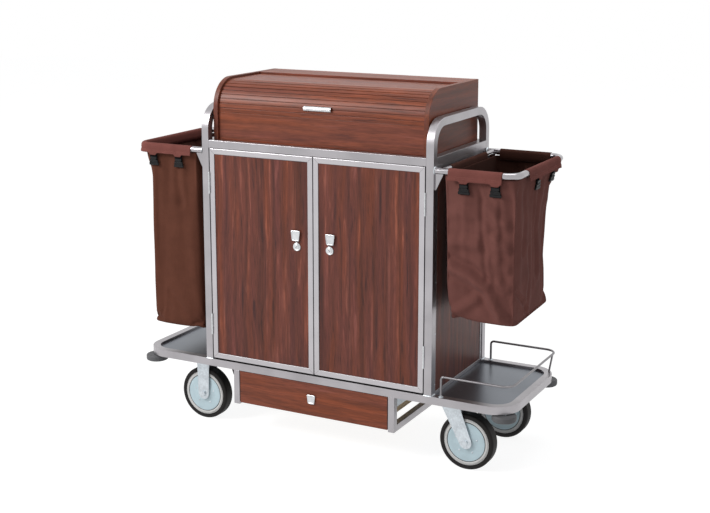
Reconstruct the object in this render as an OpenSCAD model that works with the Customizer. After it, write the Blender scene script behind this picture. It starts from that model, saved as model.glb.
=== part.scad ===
// Housekeeping trolley: a square-tube frame with two end arches, a two-door cabinet, a
// roll-top box on the deck, a hanging drawer, two hung laundry bags and four casters.
// Millimetres, +Z up, +X to the right of someone facing the doors, the doors face -Y.
// The origin is on the floor under the middle of the trolley.

/* [Frame] */
// Width over the two end frames
cab_w = 920; // [860:10:980]
// Depth over the end frame posts
cab_d = 486; // [460:2:540]
// Side of the square steel tube
tube = 28; // [26:1:30]
// Wall of the square steel tube
tube_wall = 1.5; // [1:0.25:2]
// Length of the base frame
base_len = 1500; // [1480:10:1600]
// Outer bend radius of the base frame's corners
base_r = 90; // [80:5:100]
// Height of the deck rails' upper face above the floor
rail_top = 1088; // [1040:4:1140]
// Height of the end arches above the deck rails
arch_rise = 128; // [110:2:150]
// Outer bend radius of the end arches
arch_r = 90; // [70:5:100]
// Thickness of the deck and shelf boards
board_t = 15; // [12:1:18]
// Thickness of the wall panels
panel_t = 8; // [6:1:10]

/* [Casters] */
// Wheel diameter over the tyre
wheel_d = 200; // [180:5:200]
// Tyre width
tyre_w = 46; // [40:1:48]
// Height of the base frame's underside above the floor
caster_h = 235; // [230:1:260]
// Distance of the caster plates from the middle, along the trolley
caster_x = 510; // [500:5:530]
// Distance of the caster plates' middle from the base frame's side
caster_in = 75; // [68:1:81]
// How far a swivel wheel trails behind its pivot
trail = 60; // [45:5:62]
// Radius of the wheel axles
axle_r = 6; // [5:0.5:8]

/* [Roll-top box] */
// Width of the box over its side boards
box_w = 854; // [800:2:860]
// How far the box stands in from the deck board's front and back edges
box_inset = 2; // [0:0.5:8]
// Height of the box above the deck
box_h = 220; // [200:2:240]
// Thickness of the box's side boards
side_t = 18; // [15:1:20]
// Radius of the side boards' rounded upper front corner
roll_r = 104; // [96:2:110]
// Height of the fixed front board
front_board_h = 99; // [80:1:99]
// Thickness of the shutter's slats
slat_t = 12; // [10:1:13]
// Thickness of the fixed top board
lid_t = 7.6; // [6:0.2:8]
// Depth of the fixed top board
lid_d = 135; // [125:1:140]

/* [Doors] */
// Width of the door frame's bars
door_bar = 20; // [16:1:24]
// Thickness of the door frame's bars
door_t = 20; // [16:1:20]
// Thickness of the door panels
door_panel_t = 12; // [9:1:14]
// Running gap above each door
door_gap = 2; // [1.5:0.25:3]
// Gap under each door
door_lift = 6; // [4:0.5:8]
// Height of the door pulls' middle above the floor
pull_z = 771; // [700:5:800]
// Height of the cam locks' middle above the floor
lock_z = 732; // [728:1:736]

/* [Drawer] */
// Width of the drawer's cradle over its side frames
cradle_w = 661; // [600:1:664]
// How far the cradle sits to the left of the middle
cradle_off = 10.5; // [0:0.5:12]
// Side of the cradle's square tube
cradle_tube = 24; // [20:1:26]
// Height of the cradle's underside above the floor
cradle_z = 105; // [95:1:112]
// Thickness of the drawer front
drawer_t = 18; // [15:1:20]
// Length of the drawer's box
drawer_len = 400; // [340:5:420]

/* [Bags] */
// Radius of the bag holders' tube
holder_r = 11; // [9:0.5:12]
// Height of the holders' tube above the floor
holder_z = 1047; // [1000:1:1050]
// Distance of the holders' outer bar from the middle
holder_x = 746; // [730:1:746]
// Height of the left bag's bottom above the floor
left_bag_z = 356; // [340:2:600]
// Height of the right bag's bottom above the floor
right_bag_z = 534; // [400:2:620]
// Thickness of the bag cloth with its stiffener
bag_t = 4; // [3:0.5:5]

/* [Guard and bumpers] */
// Radius of the guard wire
wire_r = 4; // [3:0.5:5]
// Height of the guard above the base frame
guard_h = 72; // [50:2:100]
// Diameter of the corner bumpers
bumper_d = 84; // [70:2:90]
// Thickness of the corner bumpers
bumper_t = 22; // [16:1:24]

/* [Hidden] */
$fn = 48;
clear = 0.3;                    // gap between parts that slide or hang side by side
run = 0.05;                     // radial clearance of a shaft in its bore
edge = 1;                       // how far a cut runs past the face it opens

base_top = caster_h + tube;     // upper face of the base frame
half_w = cab_w / 2;
half_d = cab_d / 2;
half_l = base_len / 2;
inner_w = half_w - tube;        // inner face of the end frames
inner_d = half_d - tube;        // inner face of the posts, front and back
opening_top = rail_top - tube;  // underside of the deck rails
arch_top = rail_top + arch_rise;

tray_t = 2;                     // sheet of the base tray
tray_drop = 8;                  // how far the tray lies below the base frame's upper face
tray_top = base_top - tray_drop;
tray_lip = 12;                  // turned-down lip of the tray
tray_notch = 22;                // square cut at each corner of the tray
drain_r = 3;                    // drain hole in a closed tube

caster_y = half_d - caster_in;
bearer_w = 120;                 // channel that carries two casters
bearer_t = 3;
plate_t = 4;                    // caster top plate
plate_l = 110;
plate_w = 96;

trim_w = 14;                    // edging around the side panels
trim_t = 12;
trim_inset = 3;                 // edging behind the end frame's outer face
panel_x = half_w - trim_inset - (trim_t + panel_t) / 2;     // inner face of the side panels
back_inset = 6;                 // back panel in front of the posts' rear face

deck_z = rail_top - board_t;
low_shelf_z = 470;
catch_drop = 40;                // from the locks' middle down to the upper shelf's underside
high_shelf_z = lock_z - catch_drop;
shelf_in = 22;                  // front edge of the shelves, just behind the doors
shelf_front = -half_d + shelf_in;
bracket = 25;                   // leg of the shelf brackets
bracket_y = 110;                // distance of the brackets from the middle
bracket_t = 2;

box_half = box_w / 2;
box_in = box_half - side_t;     // inner face of the side boards
box_d = 2 * (inner_d - box_inset);
box_front = -box_d / 2;
box_top = rail_top + box_h;
roll_y = box_front + roll_r;    // centre of the shutter's bend
roll_z = box_top - roll_r;
shutter_r = roll_r - lid_t - 0.4;           // outer radius of the shutter in the bend
shutter_top = roll_z + shutter_r;
slat_n = 9;                                 // slats around the bend
slat_pitch = shutter_r * PI / 2 / slat_n;
groove_w = 2.4;
groove_t = 3;
lid_front = box_d / 2 - lid_d;
shutter_back = lid_front + 8;               // rear edge of the flat slats, under the top board
track_t = 5;                                // depth of the guide groove in the side boards
track_w = slat_t / 2;                       // width of that groove
track_r = shutter_r - slat_t / 2;           // radius of its middle, and of the slats' tongues
back_board_t = 12;
handle_w = 108;
handle_r = 9.5;
handle_wall = 2;
handle_turn = 10;               // degrees above the bend's centre

door_in = 1.5;                  // half of the gap between the two doors
hinge_gap = 3.5;                // gap that holds the two hinge leaves
door_out = inner_w - hinge_gap; // outer edge of each door
door_z0 = base_top + door_lift;
door_z1 = opening_top - door_gap;
door_back = -half_d + door_t;
panel_front = -half_d + 3;      // door panel behind the frame's face
panel_back = panel_front + door_panel_t;
pull_x = 69.5;
pull_w = 38;
pull_h = 41;
pull_t = 9;
drawer_pull_h = 35;
drawer_pull_t = 6;

hinge_r = 2.9;                  // knuckle
hinge_pin_r = 1.6;
hinge_len = 80;
hinge_leaf_t = 1.2;
hinge_leaf_d = 18;
hinge_x = (inner_w + door_out) / 2;
hinge_y = -half_d - 0.15 - hinge_r;
low_hinge = 97;                 // height of the lower hinge above the base frame
high_hinge = 168;               // depth of the upper hinge's foot below the deck rails
hinge_zs = [base_top + low_hinge, opening_top - high_hinge];

lock_x = 66;
lock_r = 9;
lock_face_r = 15;
lock_face_t = 3;
lock_len = 25.8;                // barrel from the front of the panel to the back of its cam
cam_t = 3;
cam_w = 10;
cam_len = 22;
catch_t = 2;
catch_h = 13;

cradle_l = -cradle_off - cradle_w / 2;      // outer faces of the cradle
cradle_r = -cradle_off + cradle_w / 2;
drawer_side_gap = 3;
drawer_l = cradle_l + cradle_tube + drawer_side_gap;
drawer_r = cradle_r - cradle_tube - drawer_side_gap;
drawer_z0 = cradle_z + 7;
drawer_z1 = caster_h - 2;
drawer_wall = 10;
drawer_floor_t = 6;
drawer_rise = 40;               // underside of the drawer's box above the cradle's
drawer_box_z = cradle_z + drawer_rise;
drawer_box_top = caster_h - 10;
drawer_pull_rise = 69;
drawer_pull_z = cradle_z + drawer_pull_rise;
rail_d = 10;                    // drawer runner
rail_h = 30;
rail_t = 2;
rail_lip = 6;
rail_rise = 70;
rail_z = cradle_z + rail_rise;

fork_t = 4;                     // caster fork's sheet
fork_gap = 2;                   // between a fork leg and the tyre
fork_in = tyre_w / 2 + fork_gap;
fork_out = fork_in + fork_t;
fork_end_r = 23;
crown_t = 5;
crown_top = caster_h - plate_t;
fixed_crown = 27;               // half length of a fixed fork's crown
swivel_crown = 34;
king_r = 9;                     // pivot pin of a swivel caster
king_flange_r = 15;
king_flange_t = 4;
swivel_gap = 0.5;
axle_z = wheel_d / 2;
hub_r = 20;
rim_r = 0.84 * wheel_d / 2;
disc_r = 0.66 * wheel_d / 2;
nut_r = 10;
nut_t = 6;

bag_rim_z = holder_z - holder_r - 1.5;      // upper edge of the bag's walls
sleeve_t = 2.2;                 // cloth of the sleeves
sleeve_r = holder_r + clear + sleeve_t;
holder_bend = 44;               // bend radius of the holders, to the tube's middle
holder_wall = 1.4;
holder_y = half_d - holder_r;   // middle of the holders' front and back bars
cross_r = 8;                    // bar across the inner side of a holder
cross_x = half_w + 22;
bag_in_x = cross_x + cross_r + clear;       // bag's inner side
sleeve_in = 51;                 // from the end frame to the front and back sleeves
sleeve_out = holder_bend + 1;   // from those sleeves to the end bar's middle
sleeve_x0 = half_w + sleeve_in;
sleeve_x1 = holder_x - sleeve_out;
cross_sleeve = 155;             // half length of the sleeve on the cross bar
end_sleeve = [-65, 175];        // front and back end of the sleeve on the end bar
bag_foot_y = 188;               // half depth of a bag at its bottom
bag_foot_x = holder_x - 8;      // outer side of a bag at its bottom
bag_foot_in = 8;                // how far its inner side leans in
gusset_t = 4;
gusset_x = bag_in_x - clear;    // outer end of the gussets
gusset_top = 3;                 // from the bar's middle down to the gusset's upper edge
gusset_end = 13;                // and to its lower edge at the outer end
gusset_foot = 66;               // and to its lower end on the post
gusset_toe = 4;
clip_w = 36;
clip_h = 38;
clip_t = 3;
clip_drop = 40;                 // clips' middle below the upper edge of the bag's walls
clip_in = 56;                   // from the start of a sleeve to its first clip
clip_out = 23;                  // from its last clip to its end
clip_xs = [sleeve_x0 + clip_in, sleeve_x1 - clip_out];
clip_ys = [-40, 120];

guard_bend = 40;
guard_x = half_l - 5;
guard_y = half_d - tube / 2;
guard_in = 30;                  // from the end frame to the guard's legs
guard_leg_x = half_w + guard_in;
guard_z = base_top + guard_h;
stay_in = 18;                   // how far the guard's stay leans
stay_side = 22;
stay_r = wire_r - 0.6;
stay_end_t = 0.4;
stay_gap = 0.1;                 // between the stay's top and the wire it is tacked to
guard_foot_bend = 12;

bumper_x = half_l - base_r + (base_r - tube / 2) * sqrt(0.5);
bumper_y = half_d - base_r + (base_r - tube / 2) * sqrt(0.5);
bumper_plate_t = 3;
bumper_plate_w = 44;
bumper_plate_in = 12;           // how far its plate lies inward of a bumper's bolt
bumper_gap = 0.5;
bumper_top = caster_h - bumper_plate_t - bumper_gap;
bolt_r = 6;
cap_t = 4;                      // head under the bumper

steel = "silver";
wood = [0.43, 0.24, 0.2];
cloth = [0.4, 0.26, 0.24];
dark = [0.12, 0.12, 0.13];

// ---------- shared shapes ----------

// A block between two opposite corners.
module block(low, high) translate(low) cube(high - low);

// The same thing on the left and on the right.
module both_ends() for (side = [0, 1]) mirror([side, 0, 0]) children();

// The same thing at the front and at the back.
module both_faces() for (side = [0, 1]) mirror([0, side, 0]) children();

// A rectangle of a given half length and half depth with rounded corners.
module round_plate(half_x, half_y, radius) {
  square([2 * half_x, 2 * (half_y - radius)], center = true);
  square([2 * (half_x - radius), 2 * half_y], center = true);
  for (x = [-1, 1], y = [-1, 1])
    translate([x * (half_x - radius), y * (half_y - radius)]) circle(radius);
}

// Square tube between two ends, hollow and open at both; axis is "x" or "y".
module square_tube(low, high, axis, side_wall) {
  hole_low = axis == "x" ? [-edge, side_wall, side_wall] : [side_wall, -edge, side_wall];
  difference() {
    block(low, high);
    block(low + hole_low, high - hole_low);
  }
}

// Cylinders along X and along Y, from a middle point.
module rod_x(point, radius, length)
  translate(point) rotate([0, 90, 0]) cylinder(r = radius, h = length, center = true);
module rod_y(point, radius, length)
  translate(point) rotate([90, 0, 0]) cylinder(r = radius, h = length, center = true);

// ---------- base ----------

module base_ring(inset) {
  difference() {
    round_plate(half_l - inset, half_d - inset, base_r - inset);
    round_plate(half_l - tube + inset, half_d - tube + inset, base_r - tube + inset);
  }
}

module base_frame() color(steel) difference() {
  translate([0, 0, caster_h]) linear_extrude(tube) base_ring(0);
  translate([0, 0, caster_h + tube_wall]) linear_extrude(tube - 2 * tube_wall) base_ring(tube_wall);
  for (x = [-1, 1])
    translate([x * (half_l - tube / 2), 0, caster_h - edge]) cylinder(r = drain_r, h = tube / 2);
}

// Sheet tray inside the base frame, with a turned-down lip and its corners cut square.
module tray_outline(inset) difference() {
  round_plate(half_l - tube - inset, half_d - tube - inset, base_r - tube - inset);
  for (x = [-1, 1], y = [-1, 1])
    translate([x * (half_l - tube), y * (half_d - tube)])
      square(2 * (tray_notch + inset), center = true);
}

module base_tray() color(steel) difference() {
  translate([0, 0, tray_top - tray_lip]) linear_extrude(tray_lip) tray_outline(0);
  translate([0, 0, tray_top - tray_lip - edge])
    linear_extrude(tray_lip - tray_t + edge) tray_outline(tray_t);
}

// Channels across the base, under the tray, that the casters bolt to.
module caster_bearers() color(steel) for (x = [-caster_x, caster_x]) difference() {
  block([x - bearer_w / 2, -inner_d, caster_h], [x + bearer_w / 2, inner_d, tray_top - tray_t]);
  block([x - bearer_w / 2 + bearer_t, -inner_d - edge, caster_h + bearer_t],
        [x + bearer_w / 2 - bearer_t, inner_d + edge, tray_top]);
  // room for the tray's lip
  both_faces() block([x - bearer_w, inner_d - tray_t, tray_top - tray_lip],
                     [x + bearer_w, inner_d + edge, tray_top]);
}

// ---------- end frames and deck ----------

// Side view of an end frame's outline, moved in by inset.
module arch_area(inset, foot) {
  half = half_d - inset;
  radius = arch_r - inset;
  crown = arch_top - inset;
  translate([-half, foot]) square([2 * half, crown - radius - foot]);
  translate([-half + radius, foot]) square([2 * (half - radius), crown - foot]);
  for (y = [-1, 1]) translate([y * (half - radius), crown - radius]) circle(radius);
}

module arch_band(inset, foot) difference() {
  arch_area(inset, foot);
  arch_area(tube - inset, foot - edge);
}

// One tube bent into two posts and a push bar.
module end_frame(side) color(steel) translate([side * (half_w - tube / 2), 0, 0])
  rotate([90, 0, 90]) difference() {
    linear_extrude(tube, center = true) arch_band(0, base_top);
    linear_extrude(tube - 2 * tube_wall, center = true) arch_band(tube_wall, base_top - edge);
  }
module left_end_frame() end_frame(-1);
module right_end_frame() end_frame(1);

module deck_rails() color(steel) {
  both_faces() square_tube([-inner_w, -half_d, opening_top], [inner_w, -inner_d, rail_top],
                           "x", tube_wall);
  both_ends() square_tube([inner_w, -inner_d, opening_top], [half_w, inner_d, rail_top],
                          "y", tube_wall);
}

module deck_board() color(wood)
  block([-inner_w, -inner_d, deck_z], [inner_w, inner_d, rail_top]);

// ---------- cabinet ----------

module trim_outline(inset) translate([0, (tray_top + opening_top) / 2])
  square([2 * (inner_d - inset), opening_top - tray_top - 2 * inset], center = true);

module side_panels() color(wood) both_ends()
  translate([panel_x, 0, 0]) rotate([90, 0, 90]) linear_extrude(panel_t) trim_outline(trim_w);

module side_panel_trims() color(steel) both_ends()
  translate([half_w - trim_inset - trim_t, 0, 0]) rotate([90, 0, 90])
    linear_extrude(trim_t) difference() {
      trim_outline(0);
      trim_outline(trim_w);
    }

module back_panel() color(wood)
  block([-inner_w, half_d - back_inset - panel_t, base_top],
        [inner_w, half_d - back_inset, opening_top]);

shelf_half = half_w - trim_inset - trim_t;
shelf_back = half_d - back_inset - panel_t;
module shelves() color(wood) for (z = [low_shelf_z, high_shelf_z]) difference() {
  block([-shelf_half, shelf_front, z], [shelf_half, shelf_back, z + board_t]);
  // corners cut back around the posts
  for (x = [-1, 1], y = [-1, 1])
    translate([x * shelf_half, y * half_d, z + board_t / 2])
      cube([2 * (shelf_half - inner_w), 2 * tube, board_t + 2 * edge], center = true);
}

// Angle brackets under the shelves and the deck, and the plates that the cam locks turn behind.
cam_front = panel_front - clear + lock_len - cam_t;
catch_y0 = cam_front - clear - catch_t;
module shelf_fittings() color(steel) {
  both_ends() both_faces() for (seat = [[panel_x, low_shelf_z], [panel_x, high_shelf_z],
                                        [inner_w, deck_z]])
    translate([seat[0], bracket_y, seat[1]]) {
      block([-bracket, 0, -bracket_t], [0, bracket, 0]);
      block([-bracket_t, 0, -bracket], [0, bracket, 0]);
    }
  for (x = [-lock_x, lock_x])
    block([x - cam_w, catch_y0, high_shelf_z + board_t],
          [x + cam_w, catch_y0 + catch_t, high_shelf_z + board_t + catch_h]);
}

// ---------- doors ----------
// Each is drawn for the right-hand door and mirrored for the left.

module door_frame() color(steel) difference() {
  block([door_in, -half_d, door_z0], [door_out, door_back, door_z1]);
  block([door_in + door_bar, -half_d - edge, door_z0 + door_bar],
        [door_out - door_bar, door_back + edge, door_z1 - door_bar]);
}

module door_panel() color(wood) difference() {
  block([door_in + door_bar, panel_front, door_z0 + door_bar],
        [door_out - door_bar, panel_back, door_z1 - door_bar]);
  rod_y([lock_x, panel_front, lock_z], lock_r + run, 4 * door_panel_t);
}

// A shield shape: straight top, sides that curve in to a point.
module shield(width, height) intersection() {
  translate([-width / 2, -height / 2]) square([width, height]);
  translate([-width / 4, height / 4]) circle(0.75 * height + 0.25 * (width - height));
  translate([width / 4, height / 4]) circle(0.75 * height + 0.25 * (width - height));
}

// A moulded shield pull: its foot is narrower than its face, so fingers hook behind it.
module shield_pull(width, height, depth) rotate([90, 0, 0]) {
  linear_extrude(depth) shield(0.7 * width, 0.7 * height);
  translate([0, 0, 0.45 * depth]) linear_extrude(0.55 * depth) shield(width, height);
}
module door_pull() color(steel)
  translate([pull_x, panel_front, pull_z]) shield_pull(pull_w, pull_h, pull_t);

// Round cam lock: face, barrel and a tongue that points away from the middle when unlocked.
module door_lock() color(steel) {
  face_y = panel_front - clear;
  rod_y([lock_x, face_y - lock_face_t / 2, lock_z], lock_face_r, lock_face_t);
  rod_y([lock_x, face_y + lock_len / 2 - edge / 2, lock_z], lock_r, lock_len + edge);
  block([lock_x, cam_front, lock_z - cam_w / 2],
        [lock_x + cam_len, cam_front + cam_t, lock_z + cam_w / 2]);
}

// Hinge knuckles: part 0 stays on the post and holds the pin, part 1 turns with the door.
module hinge_knuckle(z, low, high) translate([hinge_x, hinge_y, z + low])
  cylinder(r = hinge_r, h = high - low);
module hinge(z, part) {
  third = hinge_len / 3;
  if (part == 0) {
    for (low = [0, 2 * third])
      hinge_knuckle(z, low, low + third - clear / 2);
    translate([hinge_x, hinge_y, z]) cylinder(r = hinge_pin_r, h = hinge_len - clear / 2);
    for (low = [0, 2 * third])
      block([inner_w - hinge_leaf_t, hinge_y, z + low],
            [inner_w, hinge_y + hinge_leaf_d, z + low + third - clear / 2]);
  } else difference() {
    union() {
      hinge_knuckle(z, third, 2 * third - clear / 2);
      block([door_out, hinge_y, z + third],
            [door_out + hinge_leaf_t, hinge_y + hinge_leaf_d, z + 2 * third - clear / 2]);
    }
    translate([hinge_x, hinge_y, z]) cylinder(r = hinge_pin_r + run, h = hinge_len);
  }
}
module door_hinges() color(steel) for (z = hinge_zs) hinge(z, 1);
module post_hinge_leaves() color(steel) both_ends() for (z = hinge_zs) hinge(z, 0);

module left_door_frame() mirror([1, 0, 0]) door_frame();
module left_door_panel() mirror([1, 0, 0]) door_panel();
module left_door_pull() mirror([1, 0, 0]) door_pull();
module left_door_hinges() mirror([1, 0, 0]) door_hinges();
module left_door_lock() mirror([1, 0, 0]) door_lock();
module right_door_frame() door_frame();
module right_door_panel() door_panel();
module right_door_pull() door_pull();
module right_door_hinges() door_hinges();
module right_door_lock() door_lock();

// ---------- roll-top box ----------

// Side view of a board with its upper front corner rounded, moved in by inset.
module box_profile(inset) {
  radius = roll_r - inset;
  translate([box_front + inset, rail_top]) square([radius, roll_z - rail_top]);
  translate([roll_y, rail_top]) square([box_d / 2 - roll_y, box_h - inset]);
  translate([roll_y, roll_z]) circle(radius);
}

// Side board with the groove that guides the shutter's ends.
module box_side() color(wood) rotate([90, 0, 90]) difference() {
  translate([0, 0, box_in]) linear_extrude(side_t) box_profile(0);
  translate([0, 0, box_in - edge]) linear_extrude(track_t + edge) difference() {
    box_profile(roll_r - track_r - track_w / 2);
    box_profile(roll_r - track_r + track_w / 2);
    translate([0, rail_top]) square([2 * box_d, 2 * front_board_h], center = true);
    translate([box_d / 2 - back_board_t, rail_top]) square(2 * box_h);
  }
}
module box_left_side() mirror([1, 0, 0]) box_side();
module box_right_side() box_side();

module box_back() color(wood)
  block([-box_in, box_d / 2 - back_board_t, rail_top], [box_in, box_d / 2, box_top - lid_t]);
module box_top_board() color(wood)
  block([-box_in, lid_front, box_top - lid_t], [box_in, box_d / 2, box_top]);
module box_front_board() color(wood)
  block([-box_in, roll_y - shutter_r, rail_top],
        [box_in, roll_y - shutter_r + slat_t, rail_top + front_board_h]);

// Shutter slats around the bend, with grooves between them.
slat_len = 2 * (box_in - clear);
bend_foot = rail_top + front_board_h + clear;
module bend_outline()
  difference() {
    intersection() {
      union() {
        translate([roll_y, roll_z]) circle(shutter_r);
        translate([roll_y - shutter_r, bend_foot]) square([shutter_r, roll_z - bend_foot]);
      }
      translate([roll_y - shutter_r, bend_foot])
        square([shutter_r - clear, shutter_r + roll_z - bend_foot]);
    }
    translate([roll_y, roll_z]) circle(shutter_r - slat_t);
    translate([roll_y - shutter_r + slat_t, bend_foot - edge])
      square([shutter_r, roll_z - bend_foot + edge]);
    for (turn = [0:slat_n - 1])
      translate([roll_y, roll_z]) rotate(180 - turn * 90 / slat_n)
        translate([shutter_r - groove_t, -groove_w / 2]) square([2 * groove_t, groove_w]);
  }

// The lowest slat of the bend has a guide pin at each end, in the side boards' groove.
module shutter_bend() color(wood) {
  rotate([90, 0, 90]) linear_extrude(slat_len, center = true) bend_outline();
  translate([0, roll_y, roll_z]) rotate([-90 / slat_n / 2, 0, 0]) translate([0, -track_r, 0])
    both_ends() translate([slat_len / 2 - edge, 0, 0]) rotate([0, 90, 0])
      cylinder(r = track_w / 2 - clear, h = track_t);
}

// Flat slats under the top board, with a tongue along each end.
module shutter_flat() color(wood) difference() {
  union() {
    block([-slat_len / 2, roll_y, shutter_top - slat_t], [slat_len / 2, shutter_back, shutter_top]);
    translate([0, (roll_y + shutter_back) / 2, roll_z + track_r])
      cube([slat_len + 2 * (track_t - edge), shutter_back - roll_y, track_w - 2 * clear],
           center = true);
  }
  for (y = [roll_y + slat_pitch : slat_pitch : lid_front])
    block([-slat_len, y - groove_w / 2, shutter_top - groove_t], [slat_len, y + groove_w / 2, box_top]);
}

// Half-round pull on the lower slats.
module shutter_handle() color(steel) difference() {
  translate([0, roll_y, roll_z]) rotate([-handle_turn, 0, 0]) translate([0, -shutter_r, 0])
    difference() {
      rod_x([0, 0, 0], handle_r, handle_w);
      rod_x([0, 0, 0], handle_r - handle_wall, handle_w + 2 * edge);
    }
  rod_x([0, roll_y, roll_z], shutter_r, handle_w + 2 * edge);
}

// ---------- drawer ----------

// Side view of the cradle's U, with its tube's wall moved in by inset.
module cradle_outline(inset) difference() {
  translate([-half_d + inset, cradle_z + inset])
    square([2 * (half_d - inset), caster_h - cradle_z + inset]);
  translate([-half_d + cradle_tube - inset, cradle_z + cradle_tube - inset])
    square([2 * (half_d - cradle_tube + inset), caster_h]);
}
module cradle_side() rotate([90, 0, 90]) difference() {
  linear_extrude(cradle_tube) intersection() {
    cradle_outline(0);
    translate([-half_d, 0]) square([cab_d, caster_h]);
  }
  translate([0, 0, tube_wall]) linear_extrude(cradle_tube - 2 * tube_wall)
    cradle_outline(tube_wall);
}
module drawer_cradle() color(steel) for (x = [cradle_l, cradle_r - cradle_tube])
  translate([x, 0, 0]) cradle_side();

// C-shaped runner fixed to one side of the cradle; x0 is the cradle's inner face, in is the
// direction of the drawer.
module runner(x0, in) translate([x0, 0, rail_z]) mirror([in < 0 ? 1 : 0, 0, 0]) {
  run_y0 = -half_d + drawer_t + 2;
  run_y1 = half_d - 2;
  block([0, run_y0, 0], [rail_t, run_y1, rail_h]);
  for (flip = [0, 1]) translate([0, 0, flip * rail_h]) mirror([0, 0, flip]) {
    block([0, run_y0, 0], [rail_d, run_y1, rail_t]);
    block([rail_d - rail_t, run_y0, 0], [rail_d, run_y1, rail_t + rail_lip]);
  }
}
module drawer_runners() color(steel) {
  runner(cradle_l + cradle_tube, 1);
  runner(cradle_r - cradle_tube, -1);
}

module drawer_front() color(wood)
  block([drawer_l, -half_d, drawer_z0], [drawer_r, -half_d + drawer_t, drawer_z1]);

// Open box with a bar on each side that slides in the runner.
module drawer_box() color([0.75, 0.7, 0.62]) {
  x0 = cradle_l + cradle_tube + rail_d + edge;
  x1 = cradle_r - cradle_tube - rail_d - edge;
  y0 = -half_d + drawer_t;
  y1 = y0 + drawer_len;
  slot = rail_t + rail_lip + 0.4;
  difference() {
    block([x0, y0, drawer_box_z], [x1, y1, drawer_box_top]);
    block([x0 + drawer_wall, y0 + drawer_wall, drawer_box_z + drawer_floor_t],
          [x1 - drawer_wall, y1 - drawer_wall, drawer_box_top + edge]);
  }
  for (x = [[x0 - rail_d + rail_t, x0], [x1, x1 + rail_d - rail_t]])
    block([x[0], y0 + 4, rail_z + slot], [x[1], y1, rail_z + rail_h - slot]);
}

module drawer_pull() color(steel)
  translate([-cradle_off, -half_d, drawer_pull_z]) shield_pull(pull_w, drawer_pull_h, drawer_pull_t);

// ---------- bags ----------

// Half of a holder's tube: a bar along the front, a bend and half the end bar.
module holder_half(radius) {
  translate([half_w, -holder_y, holder_z]) rotate([0, 90, 0])
    cylinder(r = radius, h = holder_x - holder_bend - half_w);
  translate([holder_x - holder_bend, -holder_y + holder_bend, holder_z]) rotate([0, 0, -90])
    rotate_extrude(angle = 90) translate([holder_bend, 0]) circle(radius);
  translate([holder_x, -holder_y + holder_bend, holder_z]) rotate([-90, 0, 0])
    cylinder(r = radius, h = holder_y - holder_bend);
}

// Tube bent to three sides of a rectangle, a cross bar and two gussets.
module bag_holder() color(steel) difference() {
  union() {
    both_faces() holder_half(holder_r);
    rod_y([cross_x, 0, holder_z], cross_r, 2 * holder_y);
    both_faces() translate([0, -holder_y + gusset_t / 2, 0]) rotate([90, 0, 0])
      linear_extrude(gusset_t)
        polygon([[half_w, holder_z - gusset_top], [gusset_x, holder_z - gusset_top],
                 [gusset_x, holder_z - gusset_end], [half_w + gusset_toe, holder_z - gusset_foot],
                 [half_w, holder_z - gusset_foot]]);
  }
  both_faces() holder_half(holder_r - holder_wall);
  both_faces() rod_x([half_w, -holder_y, holder_z], holder_r - holder_wall, 2 * edge);
}
module left_bag_holder() mirror([1, 0, 0]) bag_holder();
module right_bag_holder() bag_holder();

// Walls of a bag: a tapered box, open at the top; grow makes the inner or the outer face.
module bag_walls(foot, inset) hull() {
  translate([0, 0, foot + inset]) linear_extrude(edge)
    bag_plan(bag_foot_y, bag_in_x + bag_foot_in, bag_foot_x, inset);
  translate([0, 0, bag_rim_z - edge + 2 * inset]) linear_extrude(edge)
    bag_plan(holder_y + sleeve_r, bag_in_x, holder_x + sleeve_r, inset);
}
module bag_plan(half_y, x0, x1, inset) translate([(x0 + x1) / 2, 0])
  square([x1 - x0 - 2 * inset, 2 * (half_y - inset)], center = true);

// Cloth sleeve around a straight bar, with the flap that joins it to the wall below.
module sleeve(length, bar_r) difference() {
  bore = bar_r + clear;
  union() {
    rod_x([0, 0, 0], bore + sleeve_t, length);
    block([-length / 2, -bore - sleeve_t, bag_rim_z - holder_z - 2 * edge], [length / 2, -bore, 0]);
  }
  rod_x([0, 0, 0], bore, length + 2 * edge);
}

module bag(foot) color(cloth) {
  difference() {
    bag_walls(foot, 0);
    bag_walls(foot, bag_t);
  }
  both_faces() translate([(sleeve_x0 + sleeve_x1) / 2, -holder_y, holder_z])
    sleeve(sleeve_x1 - sleeve_x0, holder_r);
  translate([holder_x, (end_sleeve[0] + end_sleeve[1]) / 2, holder_z]) rotate(90)
    sleeve(end_sleeve[1] - end_sleeve[0], holder_r);
  translate([cross_x, 0, holder_z]) rotate(90) sleeve(2 * cross_sleeve, cross_r);
}
module left_bag() mirror([1, 0, 0]) bag(left_bag_z);
module right_bag() bag(right_bag_z);

// Snap clips that hold the bags' hems shut below the bars; they lean as the bag's walls do.
module clip() translate([0, -clip_t / 2, -clip_drop])
  cube([clip_w, clip_t, clip_h], center = true);
module clips_of(foot) {
  wall_h = bag_rim_z - edge - foot;
  both_faces() for (x = clip_xs) translate([x, -holder_y - sleeve_r, bag_rim_z - edge])
    rotate([atan((holder_y + sleeve_r - bag_foot_y) / wall_h), 0, 0]) clip();
  for (y = clip_ys) translate([holder_x + sleeve_r, y, bag_rim_z - edge]) rotate(90)
    rotate([atan((holder_x + sleeve_r - bag_foot_x) / wall_h), 0, 0]) clip();
}
module bag_clips() color(dark) {
  mirror([1, 0, 0]) clips_of(left_bag_z);
  clips_of(right_bag_z);
}

// ---------- guard wire and bumpers ----------

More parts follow.
